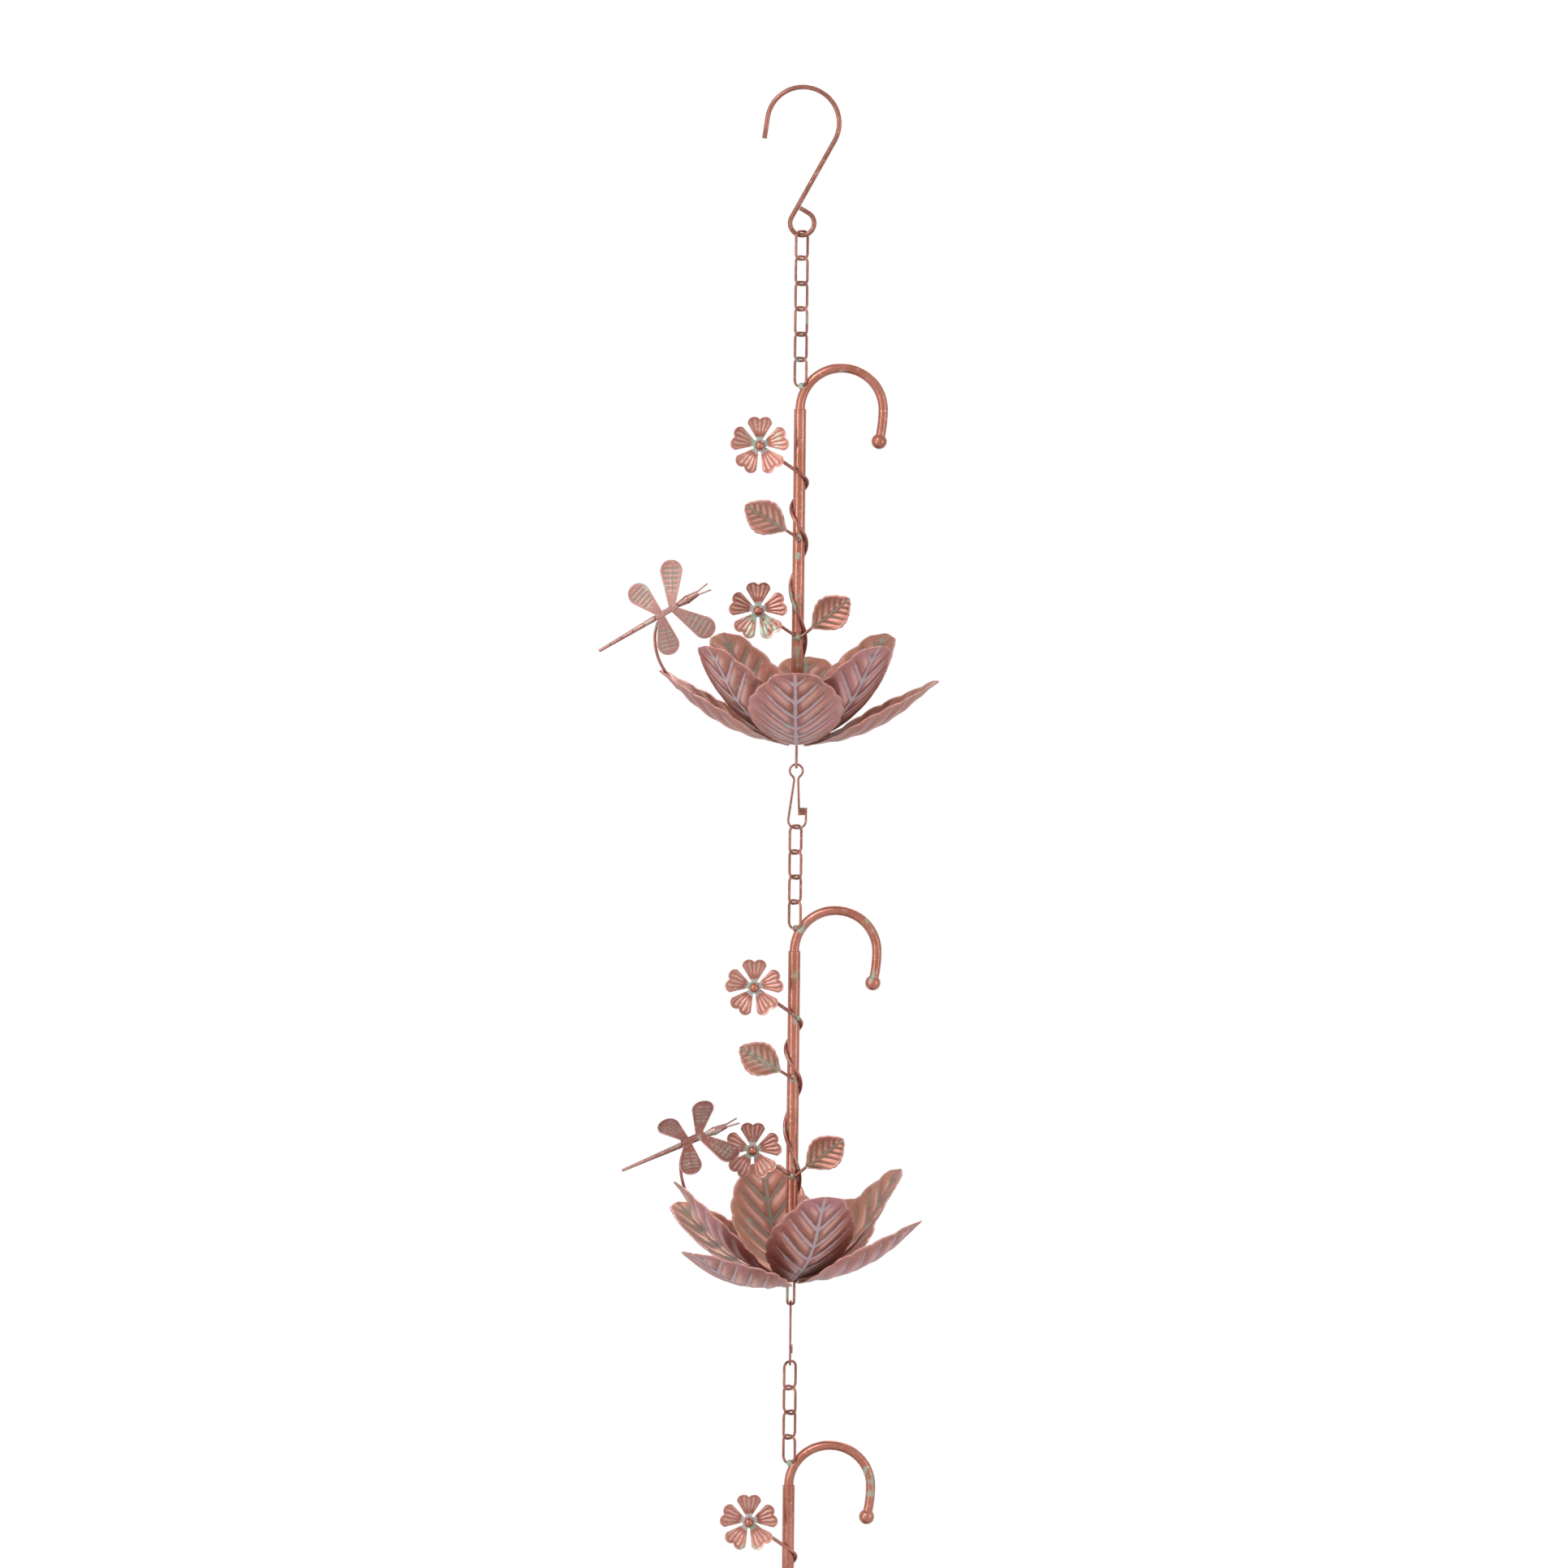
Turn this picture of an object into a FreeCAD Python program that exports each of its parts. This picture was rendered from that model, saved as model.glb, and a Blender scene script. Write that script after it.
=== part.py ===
"""Rain chain: a hook, plain wire links and three upturned umbrellas of stamped leaves.

Sizes are in millimetres and angles in degrees. The chain hangs down -Z from the inside top
of its hook, which is the origin. The hook and the crooks lie in the XZ plane, and -Y is the
front. An umbrella is drawn on its shaft's axis, with the underside of its leaf cup at z = 0.
"""
import FreeCAD, Part
import math
import os

from FreeCAD import Matrix, Rotation, Vector

# Wire, rod, tube and sheet
HOOK_WIRE = 3.2
LINK_WIRE = 1.8
CLIP_WIRE = 1.5
EYE_WIRE = 1.8
VINE_WIRE = 2.4
STEM_WIRE = 2.0
CROOK_ROD = 6.4
SHAFT_TUBE = 8.2
SHAFT_WALL = 0.8
LEAF_SHEET = 0.7
TRIM_SHEET = 0.6

# Clearances
HANGING_GAP = 0.3
FIT_GAP = 0.1
WELD_SINK = 0.15

# Hook
HOOK_INSIDE_RADIUS = 22.6
HOOK_EYE_INSIDE_RADIUS = 6.5
HOOK_DROP = 67.0
HOOK_LIP = 14.0
HOOK_LIP_TURN = 8.0
HOOK_EYE_CLOSE_ANGLE = 60.0

# Chain links
LINK_INSIDE_LENGTH = 17.35
LINK_INSIDE_WIDTH = 9.2
LINK_END_BAR = 2.4
LINK_PLANE_ANGLE = 45.0
TOP_LINKS = 5
LOWER_LINKS = 3
UMBRELLAS = 3

# Snap clips
CLIP_LENGTH = 45.0
CLIP_LOOP_RADIUS = 4.4
CLIP_NECK_RADIUS = 4.0
CLIP_NECK_TURN = 50.0
CLIP_LEG_SPREAD = 8.0
CLIP_GATE_SPREAD = 2.0
CLIP_END_BAR = 1.2
CLIP_FOOT_RADIUS = 5.4
CLIP_LATCH_RISE = 6.0
CLIP_TAB_LENGTH = 5.0
CLIP_TAB_THICKNESS = 0.8

# Shaft, crook and lower eye
SHAFT_LENGTH = 227.0
CROOK_RADIUS = 28.0
CROOK_INSERT = 25.0
CROOK_END_RADIUS = 90.0
CROOK_END_TURN = 12.0
CROOK_BALL = 10.4
CROOK_BALL_LAP = 2.6
EYE_DROP = 15.6
EYE_INSERT = 14.0
EYE_CORNER = 1.7
EYE_ANGLES = (90.0, 0.0, 90.0)

# Leaves of the cup
LEAF_CHORD = 108.0
OUTER_HALF_WIDTH = 31.0
INNER_HALF_WIDTH = 29.0
LEAF_WIDEST = 0.52
LEAF_SCALLOPS = 7
LEAF_SCALLOP_DEPTH = 1.3
LEAF_RIDGE = 0.9
LEAF_RIDGE_HALF_WIDTH = 1.9
LEAF_BLANK_MARGIN = 3.5
LEAF_BLANK_OVERRUN = 4.0
OUTER_SWEEP_RADIUS = 108.0
OUTER_CUP_RADIUS = 50.0
INNER_SWEEP_RADIUS = 95.0
INNER_CUP_RADIUS = 46.0
INNER_LIFT = 1.6

# Direction round the shaft and lift of each leaf, for the outer and inner row of each cup
OUTER_ROWS = (
    ((180, 0), (-91, 4), (-2, -3), (86, 2)),
    ((-131, -11), (-22, -1), (62, -3), (147, -2)),
    ((180, 0), (-91, 4), (-2, -3), (86, 2)),
)
INNER_ROWS = (
    ((-47, 10), (41, 10), (129, 9), (-138, 9)),
    ((-74, 9), (17, 12), (105, 9), (-167, 9)),
    ((-47, 10), (41, 10), (129, 9), (-138, 9)),
)

# Vine, flowers and small leaves
VINE_TOP = 184.0
VINE_TURNS = 2.45
VINE_FIRST_DROP = 23.5
VINE_DROP_GROWTH = 12.0
VINE_BENDS_PER_TURN = 6
FLOWER_REACH = 27.0
FLOWER_RADIUS = 20.0
FLOWER_DISH_RADIUS = 62.0
FLOWER_HUB_RADIUS = 4.4
PETALS = 5
PETAL_ROOT = 3.4
PETAL_ROOT_HALF_WIDTH = 1.5
PETAL_WAIST_HALF_WIDTH = 3.7
PETAL_SHOULDER = 14.8
PETAL_HALF_WIDTH = 7.4
PETAL_LOBE_HALF_WIDTH = 4.6
PETAL_LOBE_SETBACK = 0.7
PETAL_NOTCH = 2.4
BEAD = 6.4
BEAD_RISE = 2.1
BEAD_SHANK = 2.0
LOWER_FLOWER_NODE = 74.0
LOWER_FLOWER_RISE = 17.0
STEM_SIDE_STEP = 1.7
SMALL_LEAF_CHORD = 36.0
SMALL_LEAF_HALF_WIDTH = 10.5
SMALL_LEAF_SWEEP_RADIUS = 70.0
SMALL_LEAF_CUP_RADIUS = 26.0
SMALL_LEAF_SCALLOP_DEPTH = 0.5
SMALL_LEAF_RIDGE = 0.4
SMALL_LEAF_RIDGE_HALF_WIDTH = 0.9
SMALL_LEAF_STEM = 9.0
SMALL_LEAF_STEM_LAP = 5.0
UPPER_LEAF_NODE = 140.0
UPPER_LEAF_HEADING = 148.0
LOWER_LEAF_NODE = 73.0
LOWER_LEAF_HEADING = 40.0

# Dragonfly
PERCH_LAP = 16.0
PERCH_TIP_MARGIN = 5.0
PERCH_RISE_RADIUS = 40.0
PERCH_CURL_RADIUS = 24.0
PERCH_CURL_TURN = 48.0
DRAGONFLY_TAIL = 53.0
DRAGONFLY_SEGMENTS = 6
DRAGONFLY_SEGMENT_SWELL = 0.4
DRAGONFLY_TAIL_RADIUS = 0.7
DRAGONFLY_WAIST_RADIUS = 1.5
DRAGONFLY_THORAX = 7.5
DRAGONFLY_HEAD_LENGTH = 17.0
DRAGONFLY_HEAD_RADIUS = 3.0
DRAGONFLY_HEAD_ROUND = 25.0
DRAGONFLY_SNOUT_RADIUS = 1.8
DRAGONFLY_FEELER = 9.0
DRAGONFLY_FEELER_PITCH = 1.6
DRAGONFLY_FEELER_LAP = 1.5
DRAGONFLY_FEELER_WIRE = 1.1
DRAGONFLY_FEELER_SPREAD = 9.0
DRAGONFLY_HEADING = 31.0
DRAGONFLY_ROLLS = (4.0, 52.0, 4.0)
FORE_WING = (33.0, 28.0)
HIND_WING = (28.0, -22.0)
WING_TIP_RADIUS = 6.2
WING_ROOT_RADIUS = 1.8
WING_DROOP = 7.0
WING_SADDLE = 17.0
WING_PITCH = 8.5

DRAGONFLY_BODY_RADIUS = DRAGONFLY_WAIST_RADIUS * (1 + DRAGONFLY_SEGMENT_SWELL)
LINK_BEND_RADIUS = (LINK_INSIDE_WIDTH + LINK_WIRE - LINK_END_BAR) / 2
LINK_CENTRE_LENGTH = LINK_INSIDE_LENGTH + LINK_WIRE
HOOK_BEND_RADIUS = HOOK_INSIDE_RADIUS + HOOK_WIRE / 2
HOOK_EYE_RADIUS = HOOK_EYE_INSIDE_RADIUS + HOOK_WIRE / 2
HOOK_EYE_HEIGHT = -(HOOK_INSIDE_RADIUS + HOOK_DROP)
SHAFT_RADIUS = SHAFT_TUBE / 2
SHAFT_BORE_RADIUS = SHAFT_RADIUS - SHAFT_WALL
VINE_RADIUS = SHAFT_RADIUS + VINE_WIRE / 2 + FIT_GAP
STEM_DEPTH = SHAFT_RADIUS + STEM_WIRE / 2 + FIT_GAP
UPRIGHT = Vector(0, 0, 1)
ACROSS = Vector(0, 1, 0)


def turned(shape, axis, angle, about=Vector()):
    """A copy of a shape, turned about an axis."""
    copy = shape.copy()
    copy.rotate(about, axis, angle)
    return copy


def moved(shape, offset):
    """A copy of a shape, moved."""
    copy = shape.copy()
    copy.translate(offset)
    return copy


def run(length):
    """A straight stretch of a bent wire."""
    return ("run", length, 0.0)


def bend(radius, angle):
    """A round bend of a wire; a positive angle turns to the left."""
    return ("bend", radius, angle)


def bent_path(start, heading, steps):
    """The centre line of a wire bent in the XZ plane, and the point and heading at its end."""
    edges = []
    here = Vector(start[0], 0, start[1])
    for kind, size, angle in steps:
        ahead = Vector(math.cos(math.radians(heading)), 0, math.sin(math.radians(heading)))
        if kind == "run":
            there = here + ahead * size
            edges.append(Part.LineSegment(here, there).toShape())
        else:
            left = Vector(-ahead.z, 0, ahead.x)
            side = math.copysign(size, angle)
            centre = here + left * side
            middle = centre + Rotation(-ACROSS, angle / 2).multVec(here - centre)
            there = centre + Rotation(-ACROSS, angle).multVec(here - centre)
            edges.append(Part.Arc(here, middle, there).toShape())
            heading += angle
        here = there
    return edges, here, heading


def round_wire(edges, diameter):
    """A round wire along straight and round edges that run on smoothly, closed where its path is closed."""
    first = edges[0]
    begin = first.FirstParameter
    ring = Part.makeCircle(diameter / 2, first.valueAt(begin), first.tangentAt(begin))
    first_ring = ring
    skins = []
    for edge in edges:
        way = edge.valueAt(edge.LastParameter) - edge.valueAt(edge.FirstParameter)
        if isinstance(edge.Curve, Part.Line):
            skins.append(ring.extrude(way))
            ring = moved(ring, way)
        else:
            turn = math.degrees(edge.LastParameter - edge.FirstParameter)
            skins.append(ring.revolve(edge.Curve.Center, edge.Curve.Axis, turn))
            ring = turned(ring, edge.Curve.Axis, turn, edge.Curve.Center)
    if not Part.Wire(edges).isClosed():
        skins += [face_of([first_ring]), face_of([ring])]
    skin = Part.makeShell(skins)
    skin.sewShape()
    return Part.makeSolid(skin)


def straight_wire(start, end, diameter):
    """A straight round wire between two points."""
    way = end - start
    return Part.makeCylinder(diameter / 2, way.Length, start, way)


def face_of(edges):
    """A flat face inside a closed run of edges."""
    return Part.Face(Part.Wire(edges))


def line(start, end):
    """A straight edge."""
    return Part.LineSegment(start, end).toShape()


def arc(start, middle, end):
    """A round edge through three points."""
    return Part.Arc(start, middle, end).toShape()


def hook():
    """The hook: an open bend for the gutter bar, a slanting leg and a closed eye in line below it."""
    slant = math.degrees(math.asin((HOOK_BEND_RADIUS + HOOK_EYE_RADIUS) / HOOK_DROP))
    leg = HOOK_DROP * math.cos(math.radians(slant))
    lip_angle = 180 - HOOK_LIP_TURN
    lip_direction = math.radians(lip_angle - 90)
    on_bend = math.radians(lip_angle)
    lip_top = Vector(math.cos(on_bend), 0, math.sin(on_bend)) * HOOK_BEND_RADIUS
    lip_end = lip_top - Vector(math.cos(lip_direction), 0, math.sin(lip_direction)) * HOOK_LIP
    close_angle = HOOK_EYE_CLOSE_ANGLE + 360 - (180 - slant)
    reach = 2 * HOOK_EYE_RADIUS * math.sin(math.radians(slant + HOOK_EYE_CLOSE_ANGLE) / 2)
    tail = reach * math.cos(math.radians(slant + HOOK_EYE_CLOSE_ANGLE) / 2) - HOOK_WIRE / 2 - FIT_GAP
    steps = (
        run(HOOK_LIP),
        bend(HOOK_BEND_RADIUS, -(lip_angle + slant)),
        run(leg),
        bend(HOOK_EYE_RADIUS, close_angle),
        run(tail),
    )
    start = (lip_end.x, lip_end.z - HOOK_INSIDE_RADIUS)
    edges, _, _ = bent_path(start, lip_angle - 90, steps)
    return round_wire(edges, HOOK_WIRE)


def link(top):
    """A plain link in the XZ plane, with its upper bar's centre at a height."""
    side = LINK_CENTRE_LENGTH - 2 * LINK_BEND_RADIUS
    corner = bend(LINK_BEND_RADIUS, -90)
    half = (run(LINK_END_BAR), corner, run(side), corner)
    edges, _, _ = bent_path((-LINK_END_BAR / 2, top), 0, half + half)
    return round_wire(edges, LINK_WIRE)


def snap_clip(top):
    """A one-piece wire snap clip in the XZ plane, with its upper bar's centre at a height."""
    swing = 90 + CLIP_NECK_TURN
    start_height = top - CLIP_LOOP_RADIUS
    loop_side = math.radians(swing)
    neck_left = -CLIP_LOOP_RADIUS * math.sin(loop_side)
    neck_height = start_height + CLIP_LOOP_RADIUS * math.cos(loop_side)
    gate_turn = CLIP_NECK_TURN + CLIP_GATE_SPREAD
    gate_heading = 90 - CLIP_GATE_SPREAD
    foot_height = top - (CLIP_LENGTH - CLIP_WIRE)
    gate_end = foot_height + CLIP_FOOT_RADIUS + CLIP_LATCH_RISE - CLIP_TAB_LENGTH / 2
    gate_neck = (bend(CLIP_NECK_RADIUS, -gate_turn),)
    _, gate_top, _ = bent_path((neck_left, neck_height), gate_heading + gate_turn + 180, gate_neck)
    gate_run = (gate_top.z - gate_end) / math.cos(math.radians(CLIP_GATE_SPREAD))
    gate_foot = gate_top.x - gate_run * math.sin(math.radians(CLIP_GATE_SPREAD))
    leg_turn = CLIP_NECK_TURN + CLIP_LEG_SPREAD
    leg_heading = -90 + CLIP_LEG_SPREAD
    upper = (
        run(gate_run),
        bend(CLIP_NECK_RADIUS, gate_turn),
        bend(CLIP_LOOP_RADIUS, -2 * swing),
        bend(CLIP_NECK_RADIUS, leg_turn),
    )
    upper_path, leg_top, _ = bent_path((gate_foot, gate_end), gate_heading, upper)
    foot_rise = CLIP_FOOT_RADIUS * (1 + math.sin(math.radians(CLIP_LEG_SPREAD)))
    leg_run = (leg_top.z - foot_height - foot_rise) / math.cos(math.radians(CLIP_LEG_SPREAD))
    lower = (
        run(leg_run),
        bend(CLIP_FOOT_RADIUS, -(90 + CLIP_LEG_SPREAD)),
        run(CLIP_END_BAR),
        bend(CLIP_FOOT_RADIUS, -90),
        run(CLIP_LATCH_RISE),
    )
    lower_path, latch, _ = bent_path((leg_top.x, leg_top.z), leg_heading, lower)
    wire = round_wire(upper_path + lower_path, CLIP_WIRE)
    tab_left = latch.x - CLIP_WIRE / 2
    tab_width = gate_foot + CLIP_WIRE / 2 - tab_left
    tab_front = -(CLIP_WIRE / 2 + FIT_GAP + CLIP_TAB_THICKNESS)
    tab_corner = Vector(tab_left, tab_front, latch.z - CLIP_TAB_LENGTH / 2)
    tab = Part.makeBox(tab_width, CLIP_TAB_THICKNESS, CLIP_TAB_LENGTH, tab_corner)
    heel = Part.makeBox(CLIP_WIRE, -tab_front, CLIP_TAB_LENGTH / 2, tab_corner)
    return wire.fuse([tab, heel]).removeSplitter()


def shaft():
    """The umbrella's straight tube."""
    outside = Part.makeCylinder(SHAFT_RADIUS, SHAFT_LENGTH)
    return outside.cut(Part.makeCylinder(SHAFT_BORE_RADIUS, SHAFT_LENGTH))


def crook():
    """The umbrella's crook: a thinner rod set in the tube, bent over to the right, with a ball end."""
    steps = (
        run(CROOK_INSERT),
        bend(CROOK_RADIUS, -180),
        bend(CROOK_END_RADIUS, -CROOK_END_TURN),
    )
    edges, end, heading = bent_path((0, SHAFT_LENGTH - CROOK_INSERT), 90, steps)
    ahead = Vector(math.cos(math.radians(heading)), 0, math.sin(math.radians(heading)))
    ball = Part.makeSphere(CROOK_BALL / 2, end + ahead * (CROOK_BALL / 2 - CROOK_BALL_LAP))
    return round_wire(edges, CROOK_ROD).fuse(ball).removeSplitter()


def weld_height():
    """Height of the lower bar of the link that is welded on the crook, above the cup's underside."""
    reach = CROOK_RADIUS + CROOK_ROD / 2 + LINK_WIRE / 2 - WELD_SINK
    return SHAFT_LENGTH + math.sqrt(reach ** 2 - CROOK_RADIUS ** 2)


def hanger_link(plane_angle, handle):
    """The last link of a chain, welded by its lower bar to the outside of the crook."""
    upright = link(weld_height() + LINK_CENTRE_LENGTH)
    return turned(upright, UPRIGHT, plane_angle).cut(handle)


def lower_eye(plane_angle):
    """The wire staple in the shaft's lower end."""
    half = SHAFT_BORE_RADIUS - FIT_GAP - EYE_WIRE / 2
    leg = EYE_INSERT + EYE_DROP - EYE_CORNER
    steps = (
        run(leg),
        bend(EYE_CORNER, 90),
        run(2 * (half - EYE_CORNER)),
        bend(EYE_CORNER, 90),
        run(leg),
    )
    edges, _, _ = bent_path((-half, EYE_INSERT), -90, steps)
    return turned(round_wire(edges, EYE_WIRE), UPRIGHT, plane_angle)


def leaf_outline(chord, half_width, scallop_depth):
    """A leaf's flat outline on its chord: a plain wedge at the origin, then scallops to the tip on +X."""
    power = math.log(0.5) / math.log(LEAF_WIDEST)

    def margin(share):
        return half_width * math.sin(math.pi * share ** power)

    def edge_point(share, side, swell):
        return Vector(chord * share, side * (margin(share) + swell), 0)

    edges = []
    for side in (1, -1):
        for number in range(LEAF_SCALLOPS):
            start = edge_point(number / LEAF_SCALLOPS, side, 0)
            middle = edge_point((number + 0.5) / LEAF_SCALLOPS, side, scallop_depth)
            end = edge_point((number + 1) / LEAF_SCALLOPS, side, 0)
            edges.append(arc(start, middle, end) if number else line(start, end))
    return face_of(Part.__sortEdges__(edges))


def leaf_section(cup_radius, half_width, sheet, ridge, ridge_half_width):
    """A leaf's cross-section in the YZ plane: a round trough of sheet with a creased midrib below."""
    spread = math.asin((half_width + LEAF_BLANK_MARGIN) / cup_radius)
    crease = math.asin(ridge_half_width / cup_radius)

    def point(radius, angle):
        return Vector(0, radius * math.sin(angle), cup_radius - radius * math.cos(angle))

    def half_band(side):
        outside = cup_radius + sheet / 2
        inside = cup_radius - sheet / 2
        middle = side * (spread + crease) / 2
        outer = arc(point(outside, side * crease), point(outside, middle), point(outside, side * spread))
        inner = arc(point(inside, side * crease), point(inside, middle), point(inside, side * spread))
        rim = line(point(outside, side * spread), point(inside, side * spread))
        ridge_outer = line(point(outside + ridge, 0), point(outside, side * crease))
        ridge_inner = line(point(inside + ridge, 0), point(inside, side * crease))
        return [ridge_outer, outer, rim, inner, ridge_inner]

    return face_of(Part.__sortEdges__(half_band(1) + half_band(-1)))


def leaf_sweep_angle(chord, sweep_radius):
    """How far a leaf's midrib turns up between its base and its tip."""
    return 2 * math.degrees(math.asin(chord / (2 * sweep_radius)))


def stamped_leaf(chord, half_width, sweep_radius, cup_radius, sheet, ridge, ridge_half_width, scallop_depth):
    """A leaf pressed from sheet: its trough is swept up along a round midrib and cut to its outline."""
    sweep = leaf_sweep_angle(chord, sweep_radius)
    section = leaf_section(cup_radius, half_width, sheet, ridge, ridge_half_width)
    centre = Vector(0, 0, sweep_radius)
    begin = turned(section, ACROSS, LEAF_BLANK_OVERRUN, centre)
    trough = begin.revolve(centre, -ACROSS, sweep + 2 * LEAF_BLANK_OVERRUN)
    cutter = leaf_outline(chord, half_width, scallop_depth)
    cutter.translate(Vector(0, 0, -cup_radius))
    cutter = cutter.extrude(UPRIGHT * 2 * cup_radius)
    return trough.common(turned(cutter, -ACROSS, sweep / 2))


def cup_leaf(half_width, sweep_radius, cup_radius):
    """One leaf of the cup, drawn from the shaft's axis towards +X."""
    return stamped_leaf(LEAF_CHORD, half_width, sweep_radius, cup_radius, LEAF_SHEET,
                        LEAF_RIDGE, LEAF_RIDGE_HALF_WIDTH, LEAF_SCALLOP_DEPTH)


def leaf_row(blank, places, lift):
    """A ring of leaves, each lifted about its base, turned to its place and fitted round the shaft."""
    socket = Part.makeCylinder(SHAFT_RADIUS + FIT_GAP, 2 * LEAF_CHORD, UPRIGHT * -LEAF_CHORD)
    leaves = []
    for azimuth, tilt in places:
        leaf = moved(turned(blank, -ACROSS, tilt), UPRIGHT * lift)
        leaves.append(turned(leaf, UPRIGHT, azimuth).cut(socket))
    return Part.makeCompound(leaves)


def vine_point(turns):
    """A point of the vine's centre line, counted in turns down from where it first crosses the front."""
    angle = 2 * math.pi * turns
    height = VINE_TOP - VINE_FIRST_DROP * turns - VINE_DROP_GROWTH * turns ** 2
    return Vector(VINE_RADIUS * math.sin(angle), -VINE_RADIUS * math.cos(angle), height)


def vine_direction(turns):
    """The vine's unit direction downwards, at a number of turns."""
    angle = 2 * math.pi * turns
    pace = 2 * math.pi * VINE_RADIUS
    drop = VINE_FIRST_DROP + 2 * VINE_DROP_GROWTH * turns
    way = Vector(pace * math.cos(angle), pace * math.sin(angle), -drop)
    return way / way.Length


def arc_from(start, direction, end):
    """The round edge that leaves a point in a direction and ends at another point."""
    way = end - start
    aside = way - direction * way.dot(direction)
    centre = start + aside * (way.dot(way) / (2 * aside.dot(aside)))
    outward = (start + end) / 2 - centre
    return arc(start, centre + outward * ((start - centre).Length / outward.Length), end)


def smooth_pair(start, first, end, last):
    """Two round edges that join two points smoothly, in the given directions at its ends."""
    way = end - start
    both = first + last
    open_share = 2 * (1 - first.dot(last))
    along = way.dot(both)
    reach = (math.sqrt(along ** 2 + open_share * way.dot(way)) - along) / open_share
    middle = (start + end + (first - last) * reach) / 2
    first_edge = arc_from(start, first, middle)
    return [first_edge, arc_from(middle, first_edge.tangentAt(first_edge.LastParameter), end)]


def stalk_end():
    """The upper end of the vine's straight flower stalk."""
    direction = vine_direction(0)
    return vine_point(0) - direction * (FLOWER_REACH / direction.x)


def vine():
    """The wire vine: a straight flower stalk that runs into widening left-hand turns round the shaft."""
    edges = [line(stalk_end(), vine_point(0))]
    count = round(VINE_TURNS * VINE_BENDS_PER_TURN)
    for number in range(count):
        above = VINE_TURNS * number / count
        below = VINE_TURNS * (number + 1) / count
        edges += smooth_pair(vine_point(above), vine_direction(above),
                             vine_point(below), vine_direction(below))
    return round_wire(edges, VINE_WIRE)


def petal():
    """One notched petal, flat, along +X."""
    root = Vector(PETAL_ROOT, PETAL_ROOT_HALF_WIDTH, 0)
    waist = Vector((PETAL_ROOT + PETAL_SHOULDER) / 2, PETAL_WAIST_HALF_WIDTH, 0)
    wide = Vector(PETAL_SHOULDER, PETAL_HALF_WIDTH, 0)
    lobe = Vector(FLOWER_RADIUS - PETAL_LOBE_SETBACK, PETAL_LOBE_HALF_WIDTH, 0)
    notch = Vector(FLOWER_RADIUS - PETAL_NOTCH, 0, 0)
    upper = [arc(root, waist, wide), arc(wide, lobe, notch)]
    flip = Matrix(1, 0, 0, 0, 0, -1, 0, 0, 0, 0, 1, 0, 0, 0, 0, 1)
    lower = [edge.transformGeometry(flip) for edge in upper]
    foot = line(Vector(root.x, -root.y, 0), root)
    return face_of(Part.__sortEdges__(upper + lower + [foot]))


def flower():
    """A five-petalled flower dished from sheet, facing +Z, with its back at the origin and a bead hole."""
    depth = FLOWER_RADIUS
    hub = Part.makeCylinder(FLOWER_HUB_RADIUS, depth)
    blade = petal().extrude(UPRIGHT * depth)
    blades = [turned(blade, UPRIGHT, 90 + 360 * number / PETALS) for number in range(PETALS)]
    centre = Vector(0, 0, FLOWER_DISH_RADIUS)
    outer = Part.makeSphere(FLOWER_DISH_RADIUS, centre, ACROSS)
    dish = outer.cut(Part.makeSphere(FLOWER_DISH_RADIUS - TRIM_SHEET, centre, ACROSS))
    hole = Part.makeCylinder(BEAD_SHANK / 2 + FIT_GAP, depth)
    return hub.fuse(blades).common(dish).cut(hole)


def bead():
    """A flower's round bead with the shank that goes through the flower, facing +Z."""
    seat = TRIM_SHEET + FIT_GAP
    ball = Part.makeSphere(BEAD / 2, Vector(0, 0, seat + BEAD_RISE))
    ball = ball.cut(Part.makeCylinder(BEAD, BEAD, Vector(0, 0, seat - BEAD)))
    return ball.fuse(Part.makeCylinder(BEAD_SHANK / 2, seat + BEAD_RISE)).removeSplitter()


def facing_front(shape, place):
    """A shape drawn facing +Z, turned to face the front and moved to its place."""
    return moved(turned(shape, Vector(1, 0, 0), 90), place)


def upper_flower_place():
    """Back of the upper flower, on the front of the vine's stalk."""
    return stalk_end() - ACROSS * (VINE_WIRE / 2 + FIT_GAP)


def stem_node(side_step, height):
    """Centre of the end of a stem that is soldered to the front of the shaft, a step to one side."""
    return Vector(side_step, -math.sqrt(STEM_DEPTH ** 2 - side_step ** 2), height)


def lower_flower_place():
    """Back of the lower flower, on the front of its own stem."""
    height = LOWER_FLOWER_NODE + LOWER_FLOWER_RISE
    return Vector(-FLOWER_REACH, -(STEM_DEPTH + STEM_WIRE / 2), height)


def lower_flower():
    """The lower flower, soldered to a straight stem that ends on the front of the shaft."""
    back = lower_flower_place() + ACROSS * (STEM_WIRE / 2)
    stem = straight_wire(stem_node(-STEM_SIDE_STEP, LOWER_FLOWER_NODE), back, STEM_WIRE)
    return facing_front(flower(), lower_flower_place() + ACROSS * WELD_SINK).fuse(stem)


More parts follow.
